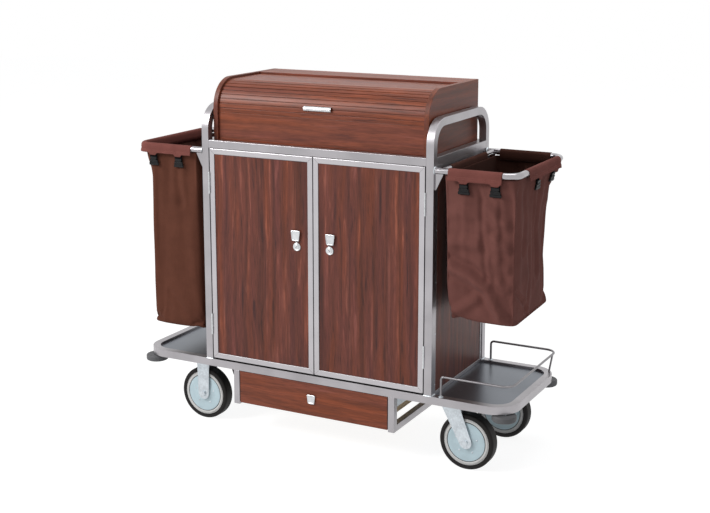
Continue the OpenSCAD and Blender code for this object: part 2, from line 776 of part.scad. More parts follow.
module guard_half() {
  run_x = guard_x - guard_bend;
  low_bend = guard_foot_bend;
  translate([guard_leg_x, -guard_y, base_top]) cylinder(r = wire_r, h = guard_h - low_bend);
  translate([guard_leg_x + low_bend, -guard_y, guard_z - low_bend]) rotate([90, 0, 0])
    rotate([0, 0, 90]) rotate_extrude(angle = 90) translate([low_bend, 0]) circle(wire_r);
  translate([guard_leg_x + low_bend, -guard_y, guard_z]) rotate([0, 90, 0])
    cylinder(r = wire_r, h = run_x - guard_leg_x - low_bend);
  translate([run_x, -guard_y + guard_bend, guard_z]) rotate([0, 0, -90])
    rotate_extrude(angle = 90) translate([guard_bend, 0]) circle(wire_r);
  translate([guard_x, -guard_y + guard_bend, guard_z]) rotate([-90, 0, 0])
    cylinder(r = wire_r, h = guard_y - guard_bend);
}

// Wire guard on the right end of the base, with a slanted stay near the rear corner.
module guard_wire() color(steel) {
  both_faces() guard_half();
  head_y = guard_y - guard_bend - 2 * wire_r;
  hull() {
    translate([guard_x - stay_in, head_y + stay_side, base_top]) stay_end();
    translate([guard_x, head_y, guard_z - wire_r - stay_gap - stay_end_t]) stay_end();
  }
}
module stay_end() cylinder(r = stay_r, h = stay_end_t, $fn = 24);

// Corner plate under the base frame with the bolt and washer that carry a bumper.
module bumper_mounts() color(dark) for (x = [-1, 1], y = [-1, 1])
  translate([x * bumper_x, y * bumper_y, 0]) {
    translate([-x * bumper_plate_in, -y * bumper_plate_in, caster_h - bumper_plate_t / 2])
      cube([bumper_plate_w, bumper_plate_w, bumper_plate_t], center = true);
    translate([0, 0, bumper_top - bumper_t - bumper_gap - edge])
      cylinder(r = bolt_r, h = bumper_t + 2 * bumper_gap + 2 * edge);
    translate([0, 0, bumper_top - bumper_t - bumper_gap - cap_t]) cylinder(r = 2 * bolt_r, h = cap_t);
  }

// Rubber corner disc with rounded edges.
module bumper() {
  round_r = 6;
  color([0.45, 0.46, 0.47]) translate([0, 0, bumper_top - bumper_t])
    rotate_extrude() difference() {
      union() {
        translate([0, 0]) square([bumper_d / 2 - round_r, bumper_t]);
        translate([0, round_r]) square([bumper_d / 2, bumper_t - 2 * round_r]);
        for (z = [round_r, bumper_t - round_r])
          translate([bumper_d / 2 - round_r, z]) circle(round_r);
      }
      translate([-edge, -edge]) square([bolt_r + run + edge, bumper_t + 2 * edge]);
    }
}
module front_left_bumper() translate([-bumper_x, -bumper_y, 0]) bumper();
module rear_left_bumper() translate([-bumper_x, bumper_y, 0]) bumper();
module front_right_bumper() translate([bumper_x, -bumper_y, 0]) bumper();
module rear_right_bumper() translate([bumper_x, bumper_y, 0]) bumper();

// ---------- casters ----------

module caster_plate(x, y) translate([x, y, crown_top])
  translate([0, 0, plate_t / 2]) cube([plate_l, plate_w, plate_t], center = true);

// All four top plates; those of the swivel casters carry the pivot pin.
module caster_plates() color(steel) {
  for (x = [-caster_x, caster_x], y = [-caster_y, caster_y]) caster_plate(x, y);
  for (y = [-caster_y, caster_y]) translate([caster_x, y, 0]) {
    translate([0, 0, crown_top - swivel_gap * 2 - crown_t - king_flange_t])
      cylinder(r = king_r, h = crown_t + 2 * swivel_gap + king_flange_t + edge);
    translate([0, 0, crown_top - swivel_gap * 2 - crown_t - king_flange_t])
      cylinder(r = king_flange_r, h = king_flange_t);
  }
}

// Side view of a fork's leg, from the crown down to the axle.
module leg_outline(top_half, lean, top) hull() {
  translate([-top_half, top - crown_t]) square([2 * top_half, crown_t]);
  translate([lean, axle_z]) circle(fork_end_r, $fn = 32);
}

// A fork at the origin of its caster: crown and two legs with the axle's holes.
module fork(top_half, lean, top, hole_r) {
  difference() {
    union() {
      translate([0, 0, top - crown_t / 2]) cube([2 * top_half, 2 * fork_out, crown_t], center = true);
      for (side = [-1, 1]) translate([0, side * (fork_in + fork_t / 2), 0]) rotate([90, 0, 0])
        linear_extrude(fork_t, center = true) leg_outline(top_half, lean, top);
    }
    rod_y([lean, 0, axle_z], hole_r, 3 * fork_out);
  }
}

// Axle bolt with a head and a nut outside the fork.
module axle() {
  rod_y([0, 0, axle_z], axle_r, 2 * fork_out + 2);
  for (side = [-1, 1]) translate([0, side * (fork_out + nut_t / 2), axle_z]) rotate([90, 0, 0])
    cylinder(r = nut_r, h = nut_t, center = true, $fn = 6);
}

module fixed_forks() color(steel) for (y = [-caster_y, caster_y])
  translate([-caster_x, y, 0]) fork(fixed_crown, 0, crown_top, axle_r);
module fixed_axles() color(steel) for (y = [-caster_y, caster_y])
  translate([-caster_x, y, 0]) axle();

// Swivel fork with its pivot bore and its axle.
module swivel_fork(y) color(steel) translate([caster_x, y, 0]) {
  difference() {
    fork(swivel_crown, trail, crown_top - swivel_gap, axle_r / 2);
    translate([0, 0, crown_top - 2 * crown_t]) cylinder(r = king_r + run, h = 3 * crown_t);
  }
  translate([trail, 0, 0]) axle();
}
module front_swivel_fork() swivel_fork(-caster_y);
module rear_swivel_fork() swivel_fork(caster_y);

// Wheel with its rim, web, hub and two cover discs; y is along the axle.
module wheel() {
  rim_w = tyre_w - 6;
  color([0.78, 0.79, 0.8]) rotate([90, 0, 0]) rotate_extrude() difference() {
    union() {
      translate([0, -rim_w / 2]) square([rim_r, rim_w]);
      translate([0, -tyre_w / 2 - 1]) square([hub_r, tyre_w + 2]);
    }
    for (side = [0, 1]) mirror([0, side]) {
      // groove between the rim's ring and the cover disc
      translate([disc_r, rim_w / 2 - 5]) square([4, 6]);
      translate([disc_r + 4, rim_w / 2 - 1.5]) square([rim_r - disc_r - 8, 3]);
    }
    translate([-edge, -tyre_w]) square([axle_r + run + edge, 2 * tyre_w]);
  }
}
module tyre() color(dark) rotate([90, 0, 0]) rotate_extrude() difference() {
  union() {
    translate([0, -tyre_w / 2 + 8]) square([wheel_d / 2, tyre_w - 16]);
    translate([0, -tyre_w / 2]) square([wheel_d / 2 - 8, tyre_w]);
    for (side = [-1, 1]) translate([wheel_d / 2 - 8, side * (tyre_w / 2 - 8)]) circle(8);
  }
  translate([-edge, -tyre_w]) square([rim_r + edge, 2 * tyre_w]);
}
swivel_wheel_x = caster_x + trail;
module front_left_wheel() translate([-caster_x, -caster_y, axle_z]) wheel();
module rear_left_wheel() translate([-caster_x, caster_y, axle_z]) wheel();
module front_right_wheel() translate([swivel_wheel_x, -caster_y, axle_z]) wheel();
module rear_right_wheel() translate([swivel_wheel_x, caster_y, axle_z]) wheel();
module front_left_tyre() translate([-caster_x, -caster_y, axle_z]) tyre();
module rear_left_tyre() translate([-caster_x, caster_y, axle_z]) tyre();
module front_right_tyre() translate([swivel_wheel_x, -caster_y, axle_z]) tyre();
module rear_right_tyre() translate([swivel_wheel_x, caster_y, axle_z]) tyre();

base_frame();
base_tray();
caster_bearers();
left_end_frame();
right_end_frame();
deck_rails();
deck_board();
side_panels();
side_panel_trims();
back_panel();
shelves();
shelf_fittings();
box_left_side();
box_right_side();
box_back();
box_top_board();
box_front_board();
drawer_cradle();
drawer_runners();
left_bag_holder();
right_bag_holder();
left_bag();
right_bag();
bag_clips();
guard_wire();
bumper_mounts();
post_hinge_leaves();
caster_plates();
fixed_forks();
fixed_axles();
left_door_frame();
left_door_panel();
left_door_pull();
left_door_hinges();
left_door_lock();
right_door_frame();
right_door_panel();
right_door_pull();
right_door_hinges();
right_door_lock();
drawer_front();
drawer_box();
drawer_pull();
shutter_bend();
shutter_handle();
shutter_flat();
front_swivel_fork();
rear_swivel_fork();
front_left_wheel();
rear_left_wheel();
front_right_wheel();
rear_right_wheel();
front_left_tyre();
rear_left_tyre();
front_right_tyre();
rear_right_tyre();
front_left_bumper();
rear_left_bumper();
front_right_bumper();
rear_right_bumper();
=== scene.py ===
"""Housekeeping trolley: the finishes of its frame, boards and casters, the two hung laundry bags, and
the small hardware, all built around the fixed frame. Metres, in the frame's own axes."""
import math

import bpy
from mathutils import Matrix, Vector, noise


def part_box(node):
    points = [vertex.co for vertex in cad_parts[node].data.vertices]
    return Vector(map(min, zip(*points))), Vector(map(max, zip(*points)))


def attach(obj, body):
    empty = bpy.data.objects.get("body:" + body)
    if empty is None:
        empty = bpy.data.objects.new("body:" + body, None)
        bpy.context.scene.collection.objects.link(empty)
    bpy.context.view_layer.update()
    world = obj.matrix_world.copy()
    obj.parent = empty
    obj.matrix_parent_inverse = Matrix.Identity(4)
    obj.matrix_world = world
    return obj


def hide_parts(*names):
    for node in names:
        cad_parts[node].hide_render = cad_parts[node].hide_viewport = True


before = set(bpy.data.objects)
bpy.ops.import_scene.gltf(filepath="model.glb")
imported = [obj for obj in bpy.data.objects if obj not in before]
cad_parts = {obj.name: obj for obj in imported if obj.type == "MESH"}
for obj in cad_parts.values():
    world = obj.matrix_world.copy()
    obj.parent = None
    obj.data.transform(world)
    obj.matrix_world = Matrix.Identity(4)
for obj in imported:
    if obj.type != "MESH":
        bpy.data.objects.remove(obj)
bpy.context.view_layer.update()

bl_info = {
    "name": "Housekeeping Trolley",
    "version": (1, 0, 0),
    "blender": (4, 5, 0),
    "location": "3D View > Sidebar > Trolley",
    "description": "Finishes, hung bags and hardware of a housekeeping trolley",
    "category": "Object",
}

MM = 0.001


def srgb(code):
    """An sRGB hex colour, such as "8A4A3A", as Blender's linear red, green, blue and alpha."""
    channels = [int(code[i:i + 2], 16) / 255 for i in (0, 2, 4)]
    return tuple(c / 12.92 if c <= 0.04045 else ((c + 0.055) / 1.055) ** 2.4 for c in channels) + (1.0,)


# ---------- what a user may change ----------

def colour(name, description, code):
    """A colour that shows in the panel."""
    return bpy.props.FloatVectorProperty(name=name, description=description, default=srgb(code),
                                         size=4, min=0.0, max=1.0, subtype="COLOR")


def length(name, description, default):
    """A length in metres that shows in the panel."""
    return bpy.props.FloatProperty(name=name, description=description, default=default,
                                   min=0.0, precision=4, unit="LENGTH")


class TrolleyColours(bpy.types.PropertyGroup):
    """Base colours of the finishes."""
    wood_shade: colour("Wood shade", "Darkest streaks of the rosewood print", "3A1D1B")
    wood_body: colour("Wood body", "Main colour of the rosewood print", "673529")
    wood_light: colour("Wood light", "Palest streaks of the rosewood print", "8F5242")
    box_body: colour("Box body", "Main colour of the roll-top box", "7A3F2B")
    cloth: colour("Cloth", "Cloth of the right bag", "704842")
    older_cloth: colour("Older cloth", "Cloth of the left bag, which has browned", "5E392D")
    hem: colour("Hem", "Folded hems, where the cloth lies double", "774842")
    # painted shade: a darker colour for the cloth's face that looks into the bag, where the inside lies in
    # shade
    inside_shade: colour("Inside_shade", "Shaded inner face of the bag cloth", "4A2F28")
    tube: colour("Tube", "Satin steel tube", "A7A4A7")
    door_bar: colour("Door bar", "Anodised bars round the doors", "B7B4B7")
    tray: colour("Tray", "Rolled sheet of the tray", "6E737B")
    zinc: colour("Zinc", "Zinc-plated caster parts", "C8CFD4")
    chrome: colour("Chrome", "Plated pulls and locks", "D4D6D8")
    wheel_face: colour("Wheel face", "Pressed cover of the wheel", "B9CDD4")
    wheel_rim: colour("Wheel rim", "Moulded rim round the cover", "CBCAC8")
    tyre: colour("Tyre", "Tyre rubber", "151211")
    bumper: colour("Bumper", "Bumper rubber", "59595B")
    clip: colour("Clip", "Moulded bag clips", "0E0E10")
    shelf: colour("Shelf", "Melamine of the shelves and the back", "C9C2B8")
    liner: colour("Liner", "Plywood of the drawer's box", "C8AE88")


class BagSizes(bpy.types.PropertyGroup):
    """Sizes of the hung bags."""
    gauge: length("Cloth gauge", "Thickness of the bag cloth", 1.4 * MM)
    hem_drop: length("Hem drop", "How far a hem hangs below its bar's middle", 27 * MM)
    tab_drop: length("Tab drop", "How much further the hem hangs at a clip", 8 * MM)
    crease: length("Crease depth", "Depth of the folds that the bag was packed with", 7.0 * MM)
    corner: length("Corner radius", "Radius of the bag's upright edges", 8 * MM)
    foot_round: length("Foot rounding", "How much rounder the corners are at the foot", 20 * MM)
    pull: length("Clip pull", "How far a clip draws the wall out", 6.5 * MM)
    hollow: length("Hollow", "How far the wall falls back between two clips", 4.0 * MM)
    slack: bpy.props.FloatProperty(name="Slack", description="Share of spare cloth that sags into folds",
                                   default=0.003, min=0.0, max=0.05, subtype="FACTOR")


class HardwareSizes(bpy.types.PropertyGroup):
    """Sizes of the small hardware."""
    tube_round: length("Tube rounding", "Edge radius of the square tube", 2.6 * MM)
    board_round: length("Board rounding", "Edge radius of the boards", 1.0 * MM)
    weld: length("Weld", "Leg of the weld beads", 3.0 * MM)
    screw: length("Screw head", "Radius of the small screw heads", 3.2 * MM)
    edging: length("Edging", "How far the edge band of the box sides stands proud", 0.15 * MM)


class StageSettings(bpy.types.PropertyGroup):
    """Camera and studio."""
    camera_place: bpy.props.FloatVectorProperty(name="Camera", description="Place of the camera",
                                                default=(2.1955, -4.1146, 1.7921), subtype="XYZ",
                                                unit="LENGTH")
    camera_turn: bpy.props.FloatProperty(name="Turn", description="Turn of the view from the back wall",
                                         default=math.radians(27.66), subtype="ANGLE")
    camera_tilt: bpy.props.FloatProperty(name="Tilt", description="Tilt of the view below the horizon",
                                         default=math.radians(11.24), subtype="ANGLE")
    lens: bpy.props.FloatProperty(name="Lens", description="Focal length", default=65.96, min=10.0,
                                  unit="CAMERA")
    shift: bpy.props.FloatProperty(name="Shift", description="Upward shift of the lens", default=-0.08)
    sky: bpy.props.FloatProperty(name="Sky", description="Strength of the studio's even light",
                                 default=0.41, min=0.0)
    key: bpy.props.FloatProperty(name="Key", description="Power of the front lamp", default=235.0,
                                 min=0.0, unit="POWER")
    top: bpy.props.FloatProperty(name="Top", description="Power of the top lamp", default=40.0,
                                 min=0.0, unit="POWER")


# ---------- places taken from the frame ----------

BASE_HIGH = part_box("base_frame")[1]
POST_LOW, POST_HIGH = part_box("right_end_frame")
HOLDER_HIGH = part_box("right_bag_holder")[1]
TUBE = POST_HIGH.x - POST_LOW.x             # side of the square tube
FLOOR_Z = 0.0
BAR_R = 11 * MM                             # bag holder's bent tube
BAR_Z = HOLDER_HIGH.z - BAR_R
BAR_X = HOLDER_HIGH.x - BAR_R
BAR_Y = HOLDER_HIGH.y - BAR_R
CROSS_R = 8 * MM                            # straight bar on the bag's inner side
CROSS_X = POST_HIGH.x + 22 * MM
CROSS_Y = 155 * MM                          # half length of the hem on it
BEND = 44 * MM                              # radius of the holder's bends
CLIP_X = (POST_HIGH.x + 107 * MM, BAR_X - 68 * MM)      # clips along the front and the rear bar
CLIP_Y = (-40 * MM, 120 * MM)               # clips along the end bar
CLIP_DROP = 66 * MM                         # from the bar's middle down to a clip's jaw
HEM_X = (POST_HIGH.x + 51 * MM, BAR_X - BEND - 1 * MM)  # ends of the hem on the front and the rear bar
HEM_Y = (-140 * MM, 170 * MM)               # ends of the hem on the end bar
LOCK_X = 66 * MM                            # from the trolley's middle to a lock's
DOOR_BAR = 20 * MM                          # width of the bars round a door
SIDE_BEND = 104 * MM                        # radius of the front of the box's side boards
WHEEL_HALF = 20 * MM                        # half the width of a wheel's rim
PLATE_HALF = (55 * MM, 48 * MM)             # half the length and half the width of a caster plate
PLATE_BOLTS = (42 * MM, 37 * MM)            # from the middle of a caster plate to its bolts
PLATE_T = 4 * MM                            # thickness of a caster plate


# ---------- nodes, meshes and pieces ----------

def add(tree, kind, values=None, links=None, stops=(), **settings):
    """Adds a shader node with its settings, input values, links and colour stops, whose first two are
    the ends of the ramp."""
    node = tree.nodes.new("ShaderNode" + kind)
    for name, value in settings.items():
        setattr(node, name, value)
    for socket, value in (values or {}).items():
        node.inputs[socket].default_value = value
    for socket, source in (links or {}).items():
        tree.links.new(source, node.inputs[socket])
    for i, (position, shade) in enumerate(stops):
        stop = node.color_ramp.elements[i] if i < 2 else node.color_ramp.elements.new(position)
        stop.position = position
        stop.color = shade
    return node


MIX_A, MIX_B, MIX_OUT = 6, 7, 2             # colour sockets of a Mix node


def grey(level):
    """A grey of a linear level, with full alpha."""
    return (level, level, level, 1.0)


def dim(shade, share):
    """A colour made darker, or paler with a share above 1."""
    return tuple(min(1.0, c * share) for c in shade[:3]) + (1.0,)


def blend(one, other, share):
    """A colour between two: all of one with a share of 0, all of the other with 1."""
    return tuple(a * (1 - share) + b * share for a, b in zip(one, other))


def start(name):
    """A new finish with the coordinates of its object: the material, its node tree and the coordinates."""
    made = bpy.data.materials.new(name)
    made.use_nodes = True
    made.node_tree.nodes.clear()
    place = add(made.node_tree, "TexCoord").outputs["Object"]
    return made, made.node_tree, place


def close(tree, values, links):
    """Ends a finish with its shader and output."""
    shader = add(tree, "BsdfPrincipled", values, links)
    add(tree, "OutputMaterial", links={"Surface": shader.outputs[0]})


class Shape:
    """Points and faces gathered into one mesh."""

    def __init__(self):
        self.points = []
        self.faces = []

    def loft(self, rings, closed=True, capped=True):
        """Joins rings of equal length with faces; closed rings go round, capped ends get a face."""
        start_at = len(self.points)
        count = len(rings[0])
        for ring in rings:
            self.points += [Vector(p) for p in ring]
        for r in range(len(rings) - 1):
            for i in range(count if closed else count - 1):
                j = (i + 1) % count
                a, b = start_at + r * count, start_at + (r + 1) * count
                self.faces.append((a + i, a + j, b + j, b + i))
        if capped:
            last = start_at + (len(rings) - 1) * count
            self.faces.append(tuple(reversed(range(start_at, start_at + count))))
            self.faces.append(tuple(range(last, last + count)))
        return self

    def lathe(self, profile, centre, axis, steps=48, capped=True):
        """Turns a profile of (radius, distance along the axis) pairs around an axis."""
        axis = Vector(axis).normalized()
        side = axis.orthogonal().normalized()
        other = axis.cross(side)
        rings = []
        for radius, along in profile:
            middle = Vector(centre) + axis * along
            rings.append([middle + (side * math.cos(t) + other * math.sin(t)) * radius
                          for t in (2 * math.pi * k / steps for k in range(steps))])
        return self.loft(rings, capped=capped)

    def block(self, centre, size, turn=None, chamfer=0.0):
        """A block with chamfered edges round its Z faces."""
        x, y, z = (s / 2 for s in size)
        turn = turn or Matrix.Identity(3)
        rings = []
        levels = ((-z, chamfer), (-z + chamfer, 0), (z - chamfer, 0), (z, chamfer)) if chamfer \
            else ((-z, 0), (z, 0))
        for level, inset in levels:
            a, b, c = x - inset, y - inset, chamfer
            outline = [(-a + c, -b), (a - c, -b), (a, -b + c), (a, b - c),
                       (a - c, b), (-a + c, b), (-a, b - c), (-a, -b + c)] if chamfer \
                else [(-a, -b), (a, -b), (a, b), (-a, b)]
            rings.append([Vector(centre) + turn @ Vector((px, py, level)) for px, py in outline])
        return self.loft(rings)

    def rod(self, line, radius, sides=12):
        """A round bar along a line of points."""
        line = [Vector(p) for p in line]
        rings = []
        side = None
        for i, p in enumerate(line):
            ahead = (line[min(i + 1, len(line) - 1)] - line[max(i - 1, 0)]).normalized()
            side = ahead.orthogonal().normalized() if side is None \
                else (side - ahead * side.dot(ahead)).normalized()
            other = ahead.cross(side)
            rings.append([p + (side * math.cos(t) + other * math.sin(t)) * radius
                          for t in (2 * math.pi * k / sides for k in range(sides))])
        return self.loft(rings)

    def build(self, name, material, body, slot, smooth=True, angle=40):
        """Makes the piece, with its finish, and lets it ride on a body."""
        mesh = bpy.data.meshes.new(name)
        mesh.from_pydata([tuple(p) for p in self.points], [], self.faces)
        mesh.validate()
        if smooth:
            mesh.shade_smooth()
            mesh.set_sharp_from_angle(angle=math.radians(angle))
        mesh.materials.append(material)
        piece = bpy.data.objects.new(name, mesh)
        bpy.context.scene.collection.objects.link(piece)
        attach(piece, body)
        return piece


def dress(node, material, rounding=0.0, steps=2, turn=35):
    """Gives a frame node its finish and softens its edges, without touching its mesh."""
    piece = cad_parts[node]
    piece.data.materials.clear()
    piece.data.materials.append(material)
    if rounding:
        piece.modifiers.new("seams_closed", "WELD").merge_threshold = 0.01 * MM
        flat = piece.modifiers.new("flat_faces", "DECIMATE")
        flat.decimate_type = "DISSOLVE"
        flat.angle_limit = math.radians(0.4)
        soft = piece.modifiers.new("soft_edges", "BEVEL")
        soft.width = rounding
        soft.segments = steps
        soft.limit_method = "ANGLE"
        soft.angle_limit = math.radians(turn)
        soft.miter_outer = "MITER_ARC"
        piece.modifiers.new("even_shading", "WEIGHTED_NORMAL").keep_sharp = True
    return piece


def screw(shape, place, outward, radius, slotted=True):
    """A pan-head screw whose head stands on a surface."""
    outward = Vector(outward).normalized()
    height = 0.55 * radius
    profile = [(radius, 0), (radius, 0.35 * height), (0.8 * radius, 0.8 * height),
               (0.45 * radius, height), (0.3 * radius, 0.55 * height), (0.01 * radius, 0.55 * height)]
    return shape.lathe(profile if slotted else profile[:4], place, outward, steps=16)


# ---------- finishes ----------

def rosewood_laminate(name, along, body, streak=17 * MM, figure=0.5, calm=0.0, shine=0.42):
    """High-pressure laminate with a printed rosewood grain, satin pressed: an even, slightly glossy
    sheet whose streaks, pores and figure are in the print. along is the grain's direction, streak the
    width of a streak, figure the strength of the arches and shine the roughness, and calm draws the
    streaks towards the main colour."""
    made, tree, place = start(name)
    colours = bpy.context.scene.trolley_colours
    shade, light = (blend(tone, body, calm) for tone in (colours.wood_shade, colours.wood_light))
    long_way = {"x": (0.055, 1, 1), "y": (1, 0.055, 1), "z": (1, 1, 0.055)}[along]
    lay = add(tree, "Mapping", {"Scale": long_way}, {"Vector": place})
    # the grain sways sideways by up to 12 mm, in waves about 300 mm long
    wave = add(tree, "Mapping", {"Scale": tuple(0.35 if s < 1 else 1 for s in long_way)},
               {"Vector": place})
    drift = add(tree, "TexNoise", {"Scale": 1 / (111 * MM), "Detail": 1.5}, {"Vector": wave.outputs[0]})
    sway = add(tree, "VectorMath", {1: (0.024, 0.024, 0.024)},
               {0: drift.outputs["Color"], 2: lay.outputs[0]}, operation="MULTIPLY_ADD")
    # streaks of the print's own width, from its dark to its pale tone
    streaks = add(tree, "TexNoise", {"Scale": 1 / streak, "Detail": 5.0, "Roughness": 0.62},
                  {"Vector": sway.outputs[0]})
    tones = add(tree, "ValToRGB", links={"Fac": streaks.outputs["Fac"]},
                stops=((0.30, shade), (0.69, light), (0.41, dim(body, 0.84)),
                       (0.50, body), (0.58, dim(body, 1.16))))
    # growth rings cut on the slant, 34.9 mm apart: long arches up the middle of a board
    rings = add(tree, "TexWave", {"Scale": math.pi / (10 * 34.9 * MM), "Distortion": 5.5, "Detail": 2.0,
                                  "Detail Scale": 1.4},
                {"Vector": sway.outputs[0]}, wave_type="RINGS", rings_direction="SPHERICAL")
    arches = add(tree, "ValToRGB", links={"Fac": rings.outputs["Fac"]},
                 stops=((0.0, grey(1 - figure * 0.6)), (0.9, grey(1.0)), (0.35, grey(0.96))))
    arched = add(tree, "Mix", {0: 1.0}, {MIX_A: tones.outputs[0], MIX_B: arches.outputs[0]},
                 data_type="RGBA", blend_type="MULTIPLY")
    # bands about 46 mm wide that lean to orange or to purple
    bands = add(tree, "TexNoise", {"Scale": 1 / (46 * MM), "Detail": 2.0}, {"Vector": sway.outputs[0]})
    cast = add(tree, "ValToRGB", links={"Fac": bands.outputs["Fac"]},
               stops=((0.36, (0.92, 0.92, 1.10, 1.0)), (0.64, (1.15, 1.03, 0.76, 1.0)),
                      (0.5, grey(1.0))))
    figured = add(tree, "Mix", {0: 1.0}, {MIX_A: arched.outputs[MIX_OUT], MIX_B: cast.outputs[0]},
                  data_type="RGBA", blend_type="MULTIPLY")
    # pores, 2.2 mm apart: coarser than in the real print, so that they show
    pores = add(tree, "TexNoise", {"Scale": 1 / (2.2 * MM), "Detail": 2.0}, {"Vector": lay.outputs[0]})
    flecks = add(tree, "ValToRGB", links={"Fac": pores.outputs["Fac"]},
                 stops=((0.30, grey(0.62)), (0.52, grey(1.0)), (0.72, grey(1.12))))
    print_layer = add(tree, "Mix", {0: 0.8}, {MIX_A: figured.outputs[MIX_OUT], MIX_B: flecks.outputs[0]},
                      data_type="RGBA", blend_type="MULTIPLY")
    dull = add(tree, "MapRange", {"To Min": shine - 0.05, "To Max": shine + 0.12},
               {"Value": pores.outputs["Fac"]})
    relief = add(tree, "Bump", {"Strength": 0.12, "Distance": 0.3 * MM}, {"Height": pores.outputs["Fac"]})
    close(tree, {"IOR": 1.5, "Specular IOR Level": 0.3},
          {"Base Color": print_layer.outputs[MIX_OUT], "Roughness": dull.outputs[0],
           "Normal": relief.outputs[0]})
    return made


def brushed_metal(name, tone, along, rough=0.34, lines=0.9 * MM, wear=0.10, spread=0.09, relief=0.10):
    """Metal sheet or tube brushed along its length: fine lines that draw highlights out across them,
    and faint cloudy marks from wiping. lines is how far apart they are, coarser than on the real
    metal so that they show, spread how much their roughness varies and wear how strong the marks are."""
    made, tree, place = start(name)
    long_way = {"x": (0.02, 1, 1), "y": (1, 0.02, 1), "z": (1, 1, 0.02)}[along]
    lay = add(tree, "Mapping", {"Scale": long_way}, {"Vector": place})
    scratches = add(tree, "TexNoise", {"Scale": 1 / lines, "Detail": 3.0}, {"Vector": lay.outputs[0]})
    clouds = add(tree, "TexNoise", {"Scale": 1 / (111 * MM), "Detail": 3.0}, {"Vector": place})
    tint = add(tree, "ValToRGB", links={"Fac": clouds.outputs["Fac"]},
               stops=((0.3, dim(tone, 1 - wear)), (0.7, dim(tone, 1 + wear))))
    dull = add(tree, "MapRange", {"To Min": rough - spread, "To Max": rough + spread},
               {"Value": scratches.outputs["Fac"]})
    grooves = add(tree, "Bump", {"Strength": relief, "Distance": 0.1 * MM},
                  {"Height": scratches.outputs["Fac"]})
    close(tree, {"Metallic": 1.0}, {"Base Color": tint.outputs[0], "Roughness": dull.outputs[0],
                                    "Normal": grooves.outputs[0]})
    return made


def zinc_plate(name):
    """Pressed steel, zinc plated and passivated: a pale blue-grey with soft spangled patches and
    small handling scratches."""
    made, tree, place = start(name)
    tone = bpy.context.scene.trolley_colours.zinc
    spangle = add(tree, "TexVoronoi", {"Scale": 1 / (6 * MM)}, {"Vector": place})
    patches = add(tree, "TexNoise", {"Scale": 1 / (30 * MM), "Detail": 4.0}, {"Vector": place})
    both = add(tree, "Mix", {0: 0.25}, {MIX_A: patches.outputs["Color"], MIX_B: spangle.outputs["Color"]},
               data_type="RGBA")
    level = add(tree, "RGBToBW", links={0: both.outputs[MIX_OUT]})
    tint = add(tree, "ValToRGB", links={"Fac": level.outputs[0]},
               stops=((0.35, dim(tone, 0.82)), (0.62, dim(tone, 1.08))))
    dull = add(tree, "MapRange", {"To Min": 0.3, "To Max": 0.5}, {"Value": level.outputs[0]})
    relief = add(tree, "Bump", {"Strength": 0.08, "Distance": 0.2 * MM}, {"Height": level.outputs[0]})
    close(tree, {"Metallic": 0.9}, {"Base Color": tint.outputs[0], "Roughness": dull.outputs[0],
                                    "Normal": relief.outputs[0]})
    return made


def chrome_casting(name):
    """Zinc die casting with satin chrome: bright, softly blurred, with a trace of casting texture."""
    made, tree, place = start(name)
    tone = bpy.context.scene.trolley_colours.chrome
    grain = add(tree, "TexNoise", {"Scale": 1 / (1.2 * MM), "Detail": 2.0}, {"Vector": place})
    rub = add(tree, "TexNoise", {"Scale": 1 / (14 * MM), "Detail": 2.0}, {"Vector": place})
    tint = add(tree, "ValToRGB", links={"Fac": rub.outputs["Fac"]},
               stops=((0.35, dim(tone, 0.86)), (0.65, tone)))
    dull = add(tree, "MapRange", {"To Min": 0.2, "To Max": 0.36}, {"Value": rub.outputs["Fac"]})
    relief = add(tree, "Bump", {"Strength": 0.05, "Distance": 0.1 * MM}, {"Height": grain.outputs["Fac"]})
    close(tree, {"Metallic": 1.0}, {"Base Color": tint.outputs[0], "Roughness": dull.outputs[0],
                                    "Normal": relief.outputs[0]})
    return made


def moulded(name, tone, rough, grit, wear=0.12, relief_depth=0.25, level=0.5):
    """Injection-moulded plastic or rubber with a spark-eroded skin: matt, with a fine even grit, and
    paler where it has been rubbed."""
    made, tree, place = start(name)
    skin = add(tree, "TexNoise", {"Scale": 1 / grit, "Detail": 2.0}, {"Vector": place})
    rub = add(tree, "TexNoise", {"Scale": 1 / (40 * MM), "Detail": 4.0, "Roughness": 0.65},
              {"Vector": place})
    tint = add(tree, "ValToRGB", links={"Fac": rub.outputs["Fac"]},
               stops=((0.32, dim(tone, 1 - wear)), (0.68, dim(tone, 1 + wear))))
    dull = add(tree, "MapRange", {"To Min": rough - 0.08, "To Max": rough + 0.08},
               {"Value": rub.outputs["Fac"]})
    relief = add(tree, "Bump", {"Strength": relief_depth, "Distance": 0.2 * MM},
                 {"Height": skin.outputs["Fac"]})
    close(tree, {"IOR": 1.5, "Specular IOR Level": level},
          {"Base Color": tint.outputs[0], "Roughness": dull.outputs[0], "Normal": relief.outputs[0]})
    return made


